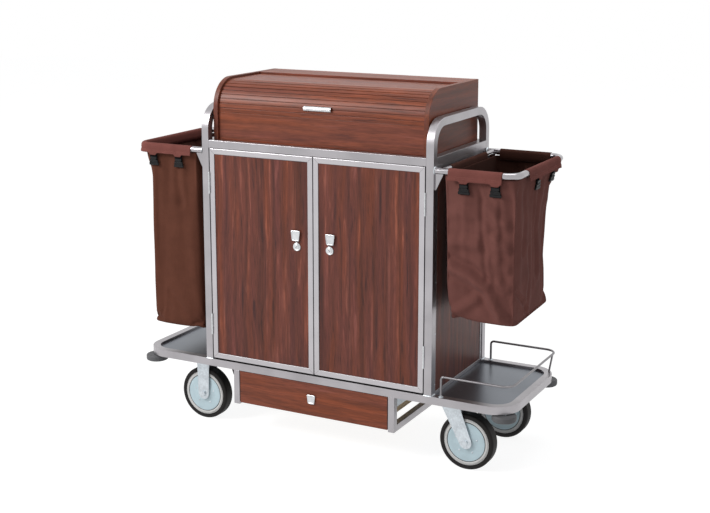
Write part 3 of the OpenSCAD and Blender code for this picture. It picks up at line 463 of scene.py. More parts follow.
def woven_polyester(name, tone, inside_shade=None):
    """Oxford polyester: a plain weave that shows as a fine basket, matt with a low sheen from the thread.
    Threads are 0.5 mm apart on the bag and drawn 1.6 mm apart, so that they show, with painted shade in the
    hollows between them. inside_shade is a darker colour painted on the face that looks at the bag's middle:
    painted shade of the bag's inside."""
    made, tree, place = start(name)
    pitch = 1.6 * MM
    axes = add(tree, "SeparateXYZ", links={0: place})
    across = add(tree, "Math", links={0: axes.outputs[0], 1: axes.outputs[1]}, operation="ADD")
    threads = []
    for source in (across.outputs[0], axes.outputs[2]):
        turns = add(tree, "Math", {1: math.pi / pitch}, {0: source}, operation="MULTIPLY")
        threads.append(add(tree, "Math", links={0: turns.outputs[0]}, operation="SINE").outputs[0])
    basket = add(tree, "Math", links={0: threads[0], 1: threads[1]}, operation="MULTIPLY")
    height = add(tree, "Math", {1: 0.5, 2: 0.5}, {0: basket.outputs[0]}, operation="MULTIPLY_ADD")
    mottle = add(tree, "TexNoise", {"Scale": 1 / (91 * MM), "Detail": 4.0, "Roughness": 0.6},
                 {"Vector": place})
    tint = add(tree, "ValToRGB", links={"Fac": mottle.outputs["Fac"]},
               stops=((0.3, dim(tone, 0.86)), (0.7, dim(tone, 1.12))))
    # painted shade and highlight of the weave: hollows between threads darker, crowns paler
    weave = add(tree, "MapRange", {"To Min": 0.9, "To Max": 1.06}, {"Value": height.outputs[0]})
    shade = add(tree, "Mix", {0: 1.0}, {MIX_A: tint.outputs[0], MIX_B: weave.outputs[0]},
                data_type="RGBA", blend_type="MULTIPLY")
    # faces that look into the bag take the darker inside colour: painted shade
    if inside_shade:
        shade = add(tree, "Mix", {MIX_B: inside_shade}, {0: looks_in(tree, place), MIX_A: shade.outputs[MIX_OUT]},
                    data_type="RGBA")
    relief = add(tree, "Bump", {"Strength": 0.22, "Distance": 0.4 * MM}, {"Height": height.outputs[0]})
    close(tree, {"Roughness": 0.94, "IOR": 1.45, "Specular IOR Level": 0.06, "Sheen Weight": 0.03,
                 "Sheen Roughness": 0.4},
          {"Base Color": shade.outputs[MIX_OUT], "Normal": relief.outputs[0]})
    return made


def looks_in(tree, place):
    """1 on cloth that faces the upright line through the middle of its bag, 0 on its outer face."""
    mirrored = add(tree, "VectorMath", links={0: place}, operation="ABSOLUTE")
    signs = add(tree, "VectorMath", links={0: place}, operation="SIGN")
    normal = add(tree, "NewGeometry").outputs["Normal"]
    turned = add(tree, "VectorMath", links={0: normal, 1: signs.outputs[0]}, operation="MULTIPLY")
    offset = add(tree, "VectorMath", {1: ((CROSS_X + BAR_X) / 2, 0, 0)}, {0: mirrored.outputs[0]},
                 operation="SUBTRACT")
    level = add(tree, "VectorMath", {1: (1, 1, 0)}, {0: offset.outputs[0]}, operation="MULTIPLY")
    outward = add(tree, "VectorMath", links={0: level.outputs[0], 1: turned.outputs[0]},
                  operation="DOT_PRODUCT")
    return add(tree, "Math", {1: 0.0}, {0: outward.outputs["Value"]}, operation="LESS_THAN").outputs[0]


def melamine_board(name, tone):
    """Melamine-faced chipboard: a hard pale sheet, faintly pebbled, with soft smudges."""
    made, tree, place = start(name)
    smudge = add(tree, "TexNoise", {"Scale": 1 / (143 * MM), "Detail": 4.0}, {"Vector": place})
    pebble = add(tree, "TexVoronoi", {"Scale": 1 / (2 * MM)}, {"Vector": place})
    tint = add(tree, "ValToRGB", links={"Fac": smudge.outputs["Fac"]},
               stops=((0.3, dim(tone, 0.92)), (0.7, dim(tone, 1.03))))
    relief = add(tree, "Bump", {"Strength": 0.06, "Distance": 0.2 * MM},
                 {"Height": pebble.outputs["Distance"]})
    close(tree, {"Roughness": 0.45, "IOR": 1.5},
          {"Base Color": tint.outputs[0], "Normal": relief.outputs[0]})
    return made


def lacquered_plywood(name, tone):
    """Sanded and lacquered birch plywood: pale, with a faint long grain."""
    made, tree, place = start(name)
    lay = add(tree, "Mapping", {"Scale": (1, 0.08, 1)}, {"Vector": place})
    grain = add(tree, "TexNoise", {"Scale": 1 / (14 * MM), "Detail": 4.0}, {"Vector": lay.outputs[0]})
    tint = add(tree, "ValToRGB", links={"Fac": grain.outputs["Fac"]},
               stops=((0.35, dim(tone, 0.85)), (0.65, dim(tone, 1.05))))
    close(tree, {"Roughness": 0.5, "IOR": 1.5}, {"Base Color": tint.outputs[0]})
    return made


def finish(name):
    """A finish of the trolley by its name, made the first time it is asked for."""
    made = bpy.data.materials.get(name)
    if made:
        return made
    c = bpy.context.scene.trolley_colours
    makers = {
        # laminates
        "rosewood_laminate_upright": lambda: rosewood_laminate(name, "z", c.wood_body),
        "rosewood_laminate_level": lambda: rosewood_laminate(
            name, "x", c.box_body, streak=13 * MM, figure=0.3, calm=0.45),
        # the box's side boards: the box colour dimmed, as painted shade of sides that face away from the
        # light
        "rosewood_laminate_deep_shaded": lambda: rosewood_laminate(
            name, "y", dim(c.box_body, 0.82), streak=22 * MM, figure=0.2, calm=0.5),
        "rosewood_foil_slats": lambda: rosewood_laminate(
            name, "x", c.box_body, streak=9 * MM, figure=0.2, calm=0.2, shine=0.36),
        "melamine_board": lambda: melamine_board(name, c.shelf),
        "birch_plywood": lambda: lacquered_plywood(name, c.liner),
        # metals
        "brushed_stainless_upright": lambda: brushed_metal(name, c.tube, "z"),
        "brushed_stainless_level": lambda: brushed_metal(name, c.tube, "x"),
        "rolled_stainless_sheet": lambda: brushed_metal(
            name, c.tray, "x", rough=0.3, lines=3 * MM, wear=0.06, spread=0.03, relief=0.01),
        "polished_steel_tube": lambda: brushed_metal(
            name, c.tube, "y", rough=0.2, lines=2 * MM, wear=0.05, spread=0.05, relief=0.02),
        "drawn_steel_wire": lambda: brushed_metal(
            name, dim(c.tube, 0.62), "x", rough=0.36, lines=2 * MM, wear=0.05, spread=0.05),
        "anodised_aluminium": lambda: brushed_metal(
            name, dim(c.tube, 0.9), "z", rough=0.42, lines=0.8 * MM, wear=0.04),
        "anodised_door_bar": lambda: brushed_metal(
            name, c.door_bar, "z", rough=0.38, lines=0.8 * MM, wear=0.05),
        "zinc_plated_steel": lambda: zinc_plate(name),
        "satin_chrome_casting": lambda: chrome_casting(name),
        # mouldings
        "enamelled_wheel_cover": lambda: moulded(
            name, c.wheel_face, rough=0.38, grit=0.8 * MM, wear=0.06, relief_depth=0.05),
        "polyamide_wheel_rim": lambda: moulded(
            name, c.wheel_rim, rough=0.45, grit=0.8 * MM, wear=0.06, relief_depth=0.1),
        "vulcanised_tyre_rubber": lambda: moulded(
            name, c.tyre, rough=0.62, grit=1.0 * MM, wear=0.25, relief_depth=0.3, level=0.25),
        "moulded_bumper_rubber": lambda: moulded(
            name, c.bumper, rough=0.6, grit=1.2 * MM, wear=0.08, relief_depth=0.3, level=0.4),
        "moulded_acetal": lambda: moulded(
            name, c.clip, rough=0.5, grit=0.7 * MM, wear=0.2, relief_depth=0.1, level=0.25),
        # cloth
        "black_webbing": lambda: woven_polyester(name, dim(c.clip, 1.4)),
        "oxford_polyester": lambda: woven_polyester(name, c.cloth, c.inside_shade),
        "oxford_polyester_browned": lambda: woven_polyester(name, c.older_cloth, c.inside_shade),
        "oxford_polyester_hem": lambda: woven_polyester(name, c.hem),
        # hems seen from inside the bag: a paler copy of the painted inside shade
        "polyester_inside_shade": lambda: woven_polyester(name, dim(c.inside_shade, 1.25)),
        "sewing_thread": lambda: moulded(
            name, dim(c.hem, 1.5), rough=0.7, grit=0.6 * MM, wear=0.1, relief_depth=0.2, level=0.3),
    }
    return makers[name]()


# ---------- operators ----------

class TROLLEY_OT_steelwork(bpy.types.Operator):
    """Finish the base, end frames, deck rails, bag holders and drawer hangers, and make their welds"""
    bl_idname = "trolley.steelwork"
    bl_label = "Steelwork"

    def execute(self, context):
        sizes = context.scene.trolley_hardware
        level = finish("brushed_stainless_level")
        upright = finish("brushed_stainless_upright")
        dress("base_frame", level, sizes.tube_round)
        dress("deck_rails", level, sizes.tube_round / 2)
        dress("base_tray", finish("rolled_stainless_sheet"), sizes.tube_round / 3)
        dress("caster_bearers", finish("zinc_plated_steel"), 0.6 * MM)
        dress("left_end_frame", upright, sizes.tube_round, 3)
        dress("right_end_frame", upright, sizes.tube_round, 3)
        dress("left_bag_holder", finish("polished_steel_tube"))
        dress("right_bag_holder", finish("polished_steel_tube"))
        dress("drawer_cradle", level, sizes.tube_round / 2)
        dress("drawer_runners", finish("zinc_plated_steel"), 0.4 * MM)
        beads = Shape()
        for x in (-1, 1):
            for y in (-1, 1):
                foot = Vector((x * (POST_HIGH.x - TUBE / 2), y * (POST_HIGH.y - TUBE / 2), BASE_HIGH.z))
                square_bead(beads, foot, TUBE / 2, sizes.weld)
                collar = Vector((x * POST_HIGH.x, y * BAR_Y, BAR_Z))
                beads.lathe([(BAR_R + sizes.weld, 0), (BAR_R + 0.7 * sizes.weld, 0.7 * sizes.weld),
                             (BAR_R, sizes.weld)], collar, (x, 0, 0), steps=32, capped=False)
        beads.build("weld_beads", finish("zinc_plated_steel"), "root", "frame_steel")
        return {"FINISHED"}


def square_bead(shape, foot, half, leg):
    """A weld bead round the foot of a square tube."""
    rings = []
    for grow, rise in ((0.0, leg), (0.45 * leg, 0.75 * leg), (0.85 * leg, 0.35 * leg), (leg, 0.0)):
        reach = half + grow
        ring = []
        for k in range(4):
            turn = Matrix.Rotation(k * math.pi / 2, 3, "Z")
            for t in (-0.92, -0.3, 0.3, 0.92):
                ring.append(foot + turn @ Vector((reach, t * reach, rise)))
        rings.append(ring)
    shape.loft(rings, capped=False)


class TROLLEY_OT_cabinet(bpy.types.Operator):
    """Finish the cabinet's boards, edging, shelves and brackets, and set its screws"""
    bl_idname = "trolley.cabinet"
    bl_label = "Cabinet"

    def execute(self, context):
        sizes = context.scene.trolley_hardware
        dress("deck_board", finish("rosewood_laminate_level"), sizes.board_round)
        dress("side_panels", finish("rosewood_laminate_upright"), sizes.board_round)
        dress("side_panel_trims", finish("anodised_aluminium"), sizes.board_round)
        dress("back_panel", finish("rosewood_laminate_upright"), sizes.board_round)
        dress("shelves", finish("melamine_board"), sizes.board_round)
        dress("shelf_fittings", finish("zinc_plated_steel"), 0.3 * MM)
        screws = Shape()
        low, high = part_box("side_panel_trims")
        rows, in_from_edge, in_from_end = 5, 7 * MM, 40 * MM
        for x in (-1, 1):
            for y in (low.y + in_from_edge, high.y - in_from_edge):
                for k in range(rows):
                    z = low.z + in_from_end + k * (high.z - low.z - 2 * in_from_end) / (rows - 1)
                    screw(screws, (x * high.x, y, z), (x, 0, 0), 0.8 * sizes.screw)
        panel_low, panel_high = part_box("back_panel")
        in_from_rim = 14 * MM
        for x in (-0.97, -0.5, 0.0, 0.5, 0.97):     # shares of the panel's half length
            for z in (panel_low.z + in_from_rim, panel_high.z - in_from_rim):
                screw(screws, (x * panel_high.x, panel_high.y, z), (0, 1, 0), sizes.screw)
        screws.build("cabinet_screws", finish("zinc_plated_steel"), "root", "zinc")
        return {"FINISHED"}


def shield_ring(centre, width, height, depth, count=72):
    """The outline of a shield at a depth in front of a door: a flat top, sides that draw in by a third
    and a blunt foot, all with rounded corners."""
    foot_share, sharpness = 0.74, 12
    lean = math.atan((1 - foot_share) / 2 * width / height)
    sides = [(Vector((0, 1)), height / 2), (Vector((0, -1)), height / 2)]
    waist = (1 + foot_share) / 4 * width * math.cos(lean)
    sides += [(Vector((s * math.cos(lean), -math.sin(lean))), waist) for s in (-1, 1)]
    ring = []
    for k in range(count):
        t = 2 * math.pi * k / count
        ray = Vector((math.sin(t), math.cos(t)))
        nearness = sum(max(0.0, ray.dot(way) / gap) ** sharpness for way, gap in sides)
        reach = nearness ** (-1 / sharpness)
        ring.append(Vector((centre[0] + ray.x * reach, centre[1] - depth, centre[2] + ray.y * reach)))
    return ring


def shield_pull(name, node, body):
    """A cast shield pull: narrow neck, flared face with a rounded rim and a sunk middle."""
    low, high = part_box(node)
    width, height, depth = high.x - low.x, high.z - low.z, high.y - low.y
    centre = ((low.x + high.x) / 2, high.y, (low.z + high.z) / 2)
    # share of the outline, and share of the depth from the door outward
    levels = ((0.70, 0.0), (0.68, 0.30), (0.76, 0.48), (0.95, 0.56), (1.0, 0.66), (1.0, 0.82),
              (0.96, 0.94), (0.91, 1.0), (0.84, 1.0), (0.79, 0.94), (0.76, 0.82), (0.5, 0.84),
              (0.2, 0.87), (0.01, 0.87))
    shape = Shape()
    shape.loft([shield_ring(centre, share * width, share * height, at * depth) for share, at in levels])
    pull = shape.build(name, finish("satin_chrome_casting"), body, "chrome", angle=60)
    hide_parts(node)
    return pull


class TROLLEY_OT_doors(bpy.types.Operator):
    """Finish the doors and make their pulls, lock faces and mitred corners"""
    bl_idname = "trolley.doors"
    bl_label = "Doors"

    def execute(self, context):
        for side, sign in (("left", -1), ("right", 1)):
            door = side + "_door"
            dress(door + "_frame", finish("anodised_door_bar"), 1.4 * MM)
            dress(door + "_panel", finish("rosewood_laminate_upright"), 0.5 * MM)
            dress(door + "_hinges", finish("satin_chrome_casting"), 0.3 * MM)
            dress(door + "_lock", finish("satin_chrome_casting"), 0.5 * MM)
            shield_pull(side + "_pull_casting", door + "_pull", door)
            self.lock_face(side, sign)
            self.mitres(door)
        dress("post_hinge_leaves", finish("satin_chrome_casting"), 0.3 * MM)
        return {"FINISHED"}

    def lock_face(self, side, sign):
        """The lock's turned rim and domed plug, with a key slot drawn as a thin black block: painted shade of
        the slot.
        """
        low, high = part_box(side + "_door_lock")
        middle = (sign * LOCK_X, low.y, (low.z + high.z) / 2)
        face = Shape()
        face.lathe([(14.2 * MM, 0), (14.0 * MM, 0.9 * MM), (12.6 * MM, 1.5 * MM), (11.0 * MM, 1.3 * MM),
                    (10.2 * MM, 0.6 * MM), (9.2 * MM, 0.6 * MM), (8.8 * MM, 1.6 * MM),
                    (6.0 * MM, 2.6 * MM), (2.5 * MM, 3.0 * MM), (0.1 * MM, 3.05 * MM)],
                   middle, (0, -1, 0), steps=40)
        face.build(side + "_lock_face", finish("satin_chrome_casting"), side + "_lock", "chrome")
        # the key slot: a thin black block on the plug, painted shade of the slot
        slot = Shape()
        turn = Matrix.Rotation(math.radians(35 * sign), 3, "Y")
        slot.block((middle[0], middle[1] - 2.9 * MM, middle[2]), (8 * MM, 0.6 * MM, 1.7 * MM), turn)
        slot.build(side + "_lock_slot_shade", finish("moulded_acetal"), side + "_lock", "chrome", smooth=False)

    def mitres(self, door):
        """Fine dark lines where the door frame's bars meet at 45 degrees."""
        low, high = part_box(door + "_frame")
        lines = Shape()
        for x, inward in ((low.x, 1), (high.x, -1)):
            for z, up in ((low.z, 1), (high.z, -1)):
                middle = (x + inward * DOOR_BAR / 2, low.y, z + up * DOOR_BAR / 2)
                turn = Matrix.Rotation(math.radians(-45 * inward * up), 3, "Y")
                lines.block(middle, (math.sqrt(2) * DOOR_BAR * 0.96, 0.12 * MM, 0.5 * MM), turn)
        lines.build(door + "_mitres", finish("moulded_acetal"), door, "frame_steel", smooth=False)


def edge_band(shape, profile, x0, x1, thickness):
    """A band that runs along a board's edge, from a profile of (y, z) points and their outward way."""
    rings = []
    for (y, z), (ny, nz) in profile:
        rings.append([(x0, y, z), (x1, y, z), (x1, y + ny * thickness, z + nz * thickness),
                      (x0, y + ny * thickness, z + nz * thickness)])
    shape.loft(rings)


class TROLLEY_OT_roll_top(bpy.types.Operator):
    """Finish the roll-top box, its shutter and handle, and band its edges"""
    bl_idname = "trolley.roll_top"
    bl_label = "Roll-top box"

    def execute(self, context):
        sizes = context.scene.trolley_hardware
        for node in ("box_left_side", "box_right_side"):
            dress(node, finish("rosewood_laminate_deep_shaded"), 0.8 * MM)
        for node in ("box_back", "box_top_board", "box_front_board"):
            dress(node, finish("rosewood_laminate_level"), sizes.board_round)
        dress("shutter_bend", finish("rosewood_foil_slats"), 0.8 * MM)
        dress("shutter_flat", finish("rosewood_foil_slats"), 0.8 * MM)
        dress("shutter_handle", finish("satin_chrome_casting"), 0.5 * MM)
        self.band_edges(sizes)
        self.handle_rivets()
        return {"FINISHED"}

    def band_edges(self, sizes):
        """An edge band over the front, the bend and the top of each side board."""
        low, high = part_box("box_left_side")
        centre = Vector((low.y + SIDE_BEND, high.z - SIDE_BEND))
        profile = [((low.y, low.z), (-1, 0))]
        steps = 24
        for k in range(steps + 1):
            t = math.radians(180 - 90 * k / steps)
            way = (math.cos(t), math.sin(t))
            profile.append(((centre.x + way[0] * SIDE_BEND, centre.y + way[1] * SIDE_BEND), way))
        profile.append(((high.y, high.z), (0, 1)))
        bands = Shape()
        inset = 0.6 * MM
        for node in ("box_left_side", "box_right_side"):
            side_low, side_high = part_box(node)
            edge_band(bands, profile, side_low.x + inset, side_high.x - inset, sizes.edging)
        bands.build("side_board_edging", finish("rosewood_laminate_deep_shaded"), "root", "box_wood")

    def handle_rivets(self):
        """Two rivets through the shutter's handle."""
        low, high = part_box("shutter_handle")
        rivets = Shape()
        in_from_end = 14 * MM
        for x in (low.x + in_from_end, high.x - in_from_end):
            screw(rivets, (x, low.y + 0.4 * MM, (low.z + high.z) / 2), (0, -1, 0.18), 2.4 * MM, False)
        rivets.build("handle_rivets", finish("satin_chrome_casting"), "shutter_bend", "chrome")


class TROLLEY_OT_drawer(bpy.types.Operator):
    """Finish the hanging drawer and make its pull"""
    bl_idname = "trolley.drawer"
    bl_label = "Drawer"

    def execute(self, context):
        sizes = context.scene.trolley_hardware
        dress("drawer_front", finish("rosewood_laminate_level"), sizes.board_round)
        dress("drawer_box", finish("birch_plywood"), 0.6 * MM)
        shield_pull("drawer_pull_casting", "drawer_pull", "drawer")
        return {"FINISHED"}


# ---------- bags ----------

# The upright edges of each bag, in mm: how far below the bar, the distance from the trolley's middle
# and the place across it. The right bag's rear outer edge is drawn in below its clips.
BAG_EDGES = {
    "right": {
        "front_inner": ((0, 494, -231), (50, 497, -229), (234, 498, -220), (375, 498, -210),
                        (513, 500, -190)),
        "front_outer": ((0, 745, -231), (60, 747, -228), (210, 746, -216), (345, 744, -208),
                        (513, 737, -189)),
        "rear_outer": ((0, 745, 231), (35, 738, 216), (80, 722, 203), (117, 704, 200), (190, 694, 200),
                       (300, 694, 200), (408, 703, 199), (513, 724, 179)),
        "rear_inner": ((0, 494, 231), (50, 497, 229), (234, 498, 217), (513, 500, 187)),
    },
    "left": {
        "front_inner": ((0, 494, -231), (50, 497, -229), (367, 498, -212), (691, 500, -191)),
        "front_outer": ((0, 744, -231), (40, 726, -230), (92, 708, -226), (207, 719, -216),
                        (367, 727, -208), (487, 732, -201), (691, 736, -190)),
        "rear_outer": ((0, 745, 231), (40, 736, 226), (92, 722, 220), (207, 720, 212), (367, 727, 206),
                       (691, 736, 189)),
        "rear_inner": ((0, 494, 231), (50, 497, 229), (367, 498, 212), (691, 500, 188)),
    },
}
BARE_BEND = "right"         # the bag whose hems leave the holder's front bend bare
ROUND_UNTIL = 90            # mm below the bar to which the outer edges are as round as the holder


def smooth_edge(points, drop):
    """Distance from the middle and place across, in metres, of an edge at a drop below the bar."""
    drop = max(points[0][0], min(drop / MM, points[-1][0]))
    i = max(k for k, point in enumerate(points[:-1]) if point[0] <= drop)
    a, b = points[i], points[i + 1]
    before, after = points[max(i - 1, 0)], points[min(i + 2, len(points) - 1)]
    span = b[0] - a[0]
    t = (drop - a[0]) / span
    place = []
    for k in (1, 2):
        leave = (b[k] - before[k]) / (b[0] - before[0]) * span
        arrive = (after[k] - a[k]) / (after[0] - a[0]) * span
        place.append(a[k] * (2 * t ** 3 - 3 * t ** 2 + 1) + leave * (t ** 3 - 2 * t ** 2 + t)
                     + b[k] * (3 * t ** 2 - 2 * t ** 3) + arrive * (t ** 3 - t ** 2))
    return Vector(place) * MM


def bag_corners(side, drop):
    """The four corners of a bag's plan at a drop below the bar, from the front inner one on."""
    return [smooth_edge(points, drop) for points in BAG_EDGES[side].values()]


FRONT, OUTER, REAR, INNER = range(4)


def perimeter(corners, radii, counts):
    """Goes round a plan with rounded corners: each point with its outward way, its face and how far
    along the face it lies, from 0 to 1. A point of a rounded corner has no face."""
    arc = 3         # points of a rounded corner between two faces
    ring = []
    ways = [(corners[(i + 1) % 4] - corners[i]).normalized() for i in range(4)]
    for i in range(4):
        a, b = corners[i], corners[(i + 1) % 4]
        ahead, following = ways[i], ways[(i + 1) % 4]
        out = Vector((ahead.y, -ahead.x))
        next_out = Vector((following.y, -following.x))
        first, last = a + ahead * radii[i], b - ahead * radii[(i + 1) % 4]
        for k in range(counts[i]):
            share = k / (counts[i] - 1)
            ring.append((first + (last - first) * share, out, i, share))
        turned = b + following * radii[(i + 1) % 4]
        for k in range(1, arc + 1):
            t = k / (arc + 1)
            point = last * (1 - t) ** 2 + b * (2 * t * (1 - t)) + turned * t ** 2
            ring.append((point, (out * (1 - t) + next_out * t).normalized(), None, 0.0))
    return ring


class Fold:
    """A crease across one face of a bag. Its points are shares of the face's width and, from the foot
    up, of its height; depth is a share of the crease depth and width is in mm."""

    def __init__(self, points, depth=1.0, width=9.0):
        self.points = points
        self.depth = depth
        self.width = width

    def sink(self, across, up, span, tall):
        """How far the cloth sinks at a place, with a lip on both sides of the crease."""
        place = Vector((across * span, up * tall))
        run = [Vector((x * span, z * tall)) for x, z in self.points]
        nearest = 1e9
        for a, b in zip(run, run[1:]):
            share = max(0.0, min(1.0, (place - a).dot(b - a) / (b - a).length_squared))
            nearest = min(nearest, (place - a - (b - a) * share).length)
        t = nearest / self.width
        lip, lip_at = 0.55, 1.9         # share of the depth, and distance in widths
        return self.depth * (math.exp(-t * t) - lip * math.exp(-((t - lip_at) ** 2)))


BAG_FOLDS = {
    "right": {
        FRONT: [Fold([(0.50, 1.0), (0.53, 0.60), (0.60, 0.32)], 0.7, 8),
                Fold([(0.02, 0.54), (0.24, 0.56), (0.44, 0.55)], -1.5, 19),
                Fold([(0.02, 0.68), (0.20, 0.70), (0.40, 0.69)], 0.7, 17),
                Fold([(0.04, 0.37), (0.32, 0.33), (0.60, 0.25), (0.78, 0.12), (0.94, 0.0)], -1.9, 18),
                Fold([(0.08, 0.43), (0.36, 0.40), (0.56, 0.33)], 0.8, 14),
                Fold([(0.04, 0.03), (0.24, 0.10), (0.44, 0.18)], -1.0, 15),
                Fold([(0.62, 0.80), (0.78, 0.73), (0.90, 0.71)], -1.1, 17),
                Fold([(0.72, 0.60), (0.84, 0.57), (0.92, 0.55)], -1.0, 14),
                Fold([(0.78, 0.45), (0.92, 0.41)], -0.9, 13),
                Fold([(0.80, 0.31), (0.92, 0.27)], -0.8, 13)],
        OUTER: [Fold([(0.16, 0.98), (0.20, 0.72), (0.14, 0.50)], 0.5, 14),
                Fold([(0.60, 0.98), (0.50, 0.62), (0.56, 0.30)], 0.8, 18),
                Fold([(0.30, 0.50), (0.36, 0.30), (0.28, 0.06)], 0.5, 14),
                Fold([(0.80, 0.70), (0.74, 0.40), (0.82, 0.10)], 0.6, 16),
                Fold([(0.02, 0.24), (0.24, 0.12), (0.40, 0.0)], 0.9, 9)],
        REAR: [Fold([(0.48, 1.0), (0.50, 0.5), (0.46, 0.2)], 1.0, 7),
               Fold([(0.04, 0.02), (0.5, 0.20), (0.96, 0.30)], 1.2, 8),
               Fold([(0.04, 0.5), (0.3, 0.6)], 0.8, 9)],
        INNER: [Fold([(0.5, 1.0), (0.52, 0.2)], 0.8, 10),
                Fold([(0.06, 0.3), (0.5, 0.12), (0.94, 0.3)], 0.8, 9)],
    },
    "left": {
        FRONT: [Fold([(0.34, 0.98), (0.38, 0.84), (0.32, 0.72)], 0.7, 16),
                Fold([(0.60, 0.96), (0.62, 0.50), (0.66, 0.08)], 0.35, 18),
                Fold([(0.84, 0.92), (0.78, 0.55), (0.80, 0.20)], 0.3, 20),
                Fold([(0.16, 0.78), (0.20, 0.45), (0.14, 0.10)], 0.3, 20),
                Fold([(0.04, 0.02), (0.38, 0.12), (0.60, 0.20)], 0.4, 14)],
        OUTER: [Fold([(0.22, 0.98), (0.26, 0.5), (0.18, 0.1)], 0.5, 16),
                Fold([(0.62, 0.98), (0.56, 0.55), (0.60, 0.1)], 0.6, 16),
                Fold([(0.02, 0.18), (0.30, 0.08), (0.44, 0.0)], 0.6, 10)],
        REAR: [Fold([(0.48, 1.0), (0.50, 0.5), (0.46, 0.15)], 0.8, 10),
               Fold([(0.04, 0.02), (0.5, 0.14), (0.96, 0.2)], 0.8, 9)],
        INNER: [Fold([(0.5, 1.0), (0.52, 0.2)], 0.8, 12),
                Fold([(0.06, 0.2), (0.5, 0.08), (0.94, 0.2)], 0.8, 9)],
    },
}
FOOT_LIFT = {"right": 15 * MM, "left": 6 * MM}      # how far the front inner foot is drawn up
FACE_SPAN = {FRONT: 248, OUTER: 420, REAR: 248, INNER: 420}     # mean width of each wall, in mm
FACE_POINTS = (34, 54, 34, 54)      # points of the mesh across each wall
ROW = 8 * MM                        # height of a row of the walls' mesh
RIM_GAP = 1.5 * MM                  # from the bar's underside to the walls' upper edge
CREASES_FROM = 80 * MM              # how far below the bar the creases reach their full depth
CLIP_REACH = (27 * MM, 95 * MM)     # how far a clip's pull shows sideways and downward
JAW = (14 * MM, 8 * MM)             # half the width and half the height of the cloth that a clip grips
RIPPLES, SWELLS = 14, 6             # the cloth's small ripples and broad swells, in waves per metre
RIPPLE_DEPTH, SWELL_DEPTH = 2.0 * MM, 3.0 * MM
MOST_SAG = 16 * MM                  # how far the simulation may move a point of the cloth
HEM_SHORT = {"right": 0.0, "left": 4 * MM}      # by how much a bag's hems hang less than the hem drop
TAB = (15 * MM, 2 * MM)             # half the width of a hem's tab at a clip, and how softly it ends
HEM_WAVES, HEM_WAVER = 40, 1.0 * MM     # the hem's lower edge, in waves per metre, and their height
PUFFS, PUFF = 25, 1.1 * MM          # the hem's loose places, in waves per metre, and their depth
THREAD_R = 0.35 * MM                # radius of a stitch, drawn thicker than the real thread
CLIP_STAND = 3.4 * MM               # from the bar's face out to the middle of a clip
JAW_STAND = 4.5 * MM                # from the wall out to the middle of a clip's jaw
CLIP_TOP = 36 * MM                  # from the bar's middle down to where a clip's moulding starts
CLIP_BLOCKS = (                     # sideways and downward place, size and chamfer, in mm
    (0, 7, (28, 5.0, 11), 1.2),     # bridge
    (0, 18, (22, 4.0, 16), 0.8),    # tongue
    (-14, 21, (8, 5.4, 15), 1.6),   # cheeks
    (14, 21, (8, 5.4, 15), 1.6),
    (0, 30, (42, 6.4, 11), 2.2),    # jaw
)


class Hem:
    """A run of hem along the holder: samples of the bar's middle and the outward way, the bar's
    radius and the places of the clips on it."""

    def __init__(self, bar_r, clips=()):
        self.samples = []
        self.bar_r = bar_r
        self.clips = clips

    def straight(self, a, b, out):
        """Along a straight stretch of the bar."""
        count = max(8, round((b - a).length / (4 * MM)))
        self.samples += [(a + (b - a) * (k / count), out) for k in range(count + 1)]
        return self

    def bend(self, hub, radius, steps=12):
        """Round the holder's front bend, from the front bar's way to the end bar's."""
        for k in range(1, steps):
            t = math.pi / 2 * k / steps
            out = Vector((math.sin(t), -math.cos(t), 0))
            self.samples.append((hub + out * radius, out))
        return self

    def mirrored(self, sign):
        """The same run at the other end of the trolley, if the sign is -1."""
        self.samples = [(Vector((sign * p.x, p.y, p.z)), Vector((sign * o.x, o.y, 0)))
                        for p, o in self.samples]
        self.clips = [Vector((sign * c.x, c.y, c.z)) for c in self.clips]
        return self


def bag_hems(side, sign):
    """The hems that show their outer face, and those that show their inner face, which carry the painted
    inside shade.
    """
    front_clips = [Vector((x, -BAR_Y, BAR_Z)) for x in CLIP_X]
    end_clips = [Vector((BAR_X, y, BAR_Z)) for y in CLIP_Y]
    rear_clips = [Vector((x, BAR_Y, BAR_Z)) for x in CLIP_X]
    forward, endward, rearward, inward = (Vector(way) for way in ((0, -1, 0), (1, 0, 0), (0, 1, 0),
                                                                  (-1, 0, 0)))
    front = (Vector((HEM_X[0], -BAR_Y, BAR_Z)), Vector((HEM_X[1], -BAR_Y, BAR_Z)), forward)
    if side == BARE_BEND:
        outer = [Hem(BAR_R, front_clips).straight(*front),
                 Hem(BAR_R, end_clips).straight(Vector((BAR_X, HEM_Y[0], BAR_Z)),
                                                Vector((BAR_X, HEM_Y[1], BAR_Z)), endward)]
    else:
        hub = Vector((BAR_X - BEND, -BAR_Y + BEND, BAR_Z))
        outer = [Hem(BAR_R, front_clips + end_clips).straight(*front).bend(hub, BEND)
                 .straight(Vector((BAR_X, hub.y, BAR_Z)), Vector((BAR_X, HEM_Y[1], BAR_Z)), endward)]
    shaded_hems = [Hem(BAR_R, rear_clips).straight(Vector((HEM_X[0], BAR_Y, BAR_Z)),
                                              Vector((HEM_X[1], BAR_Y, BAR_Z)), rearward),
              Hem(CROSS_R).straight(Vector((CROSS_X, -CROSS_Y, BAR_Z)),
                                    Vector((CROSS_X, CROSS_Y, BAR_Z)), inward)]
    return [hem.mirrored(sign) for hem in outer], [hem.mirrored(sign) for hem in shaded_hems]


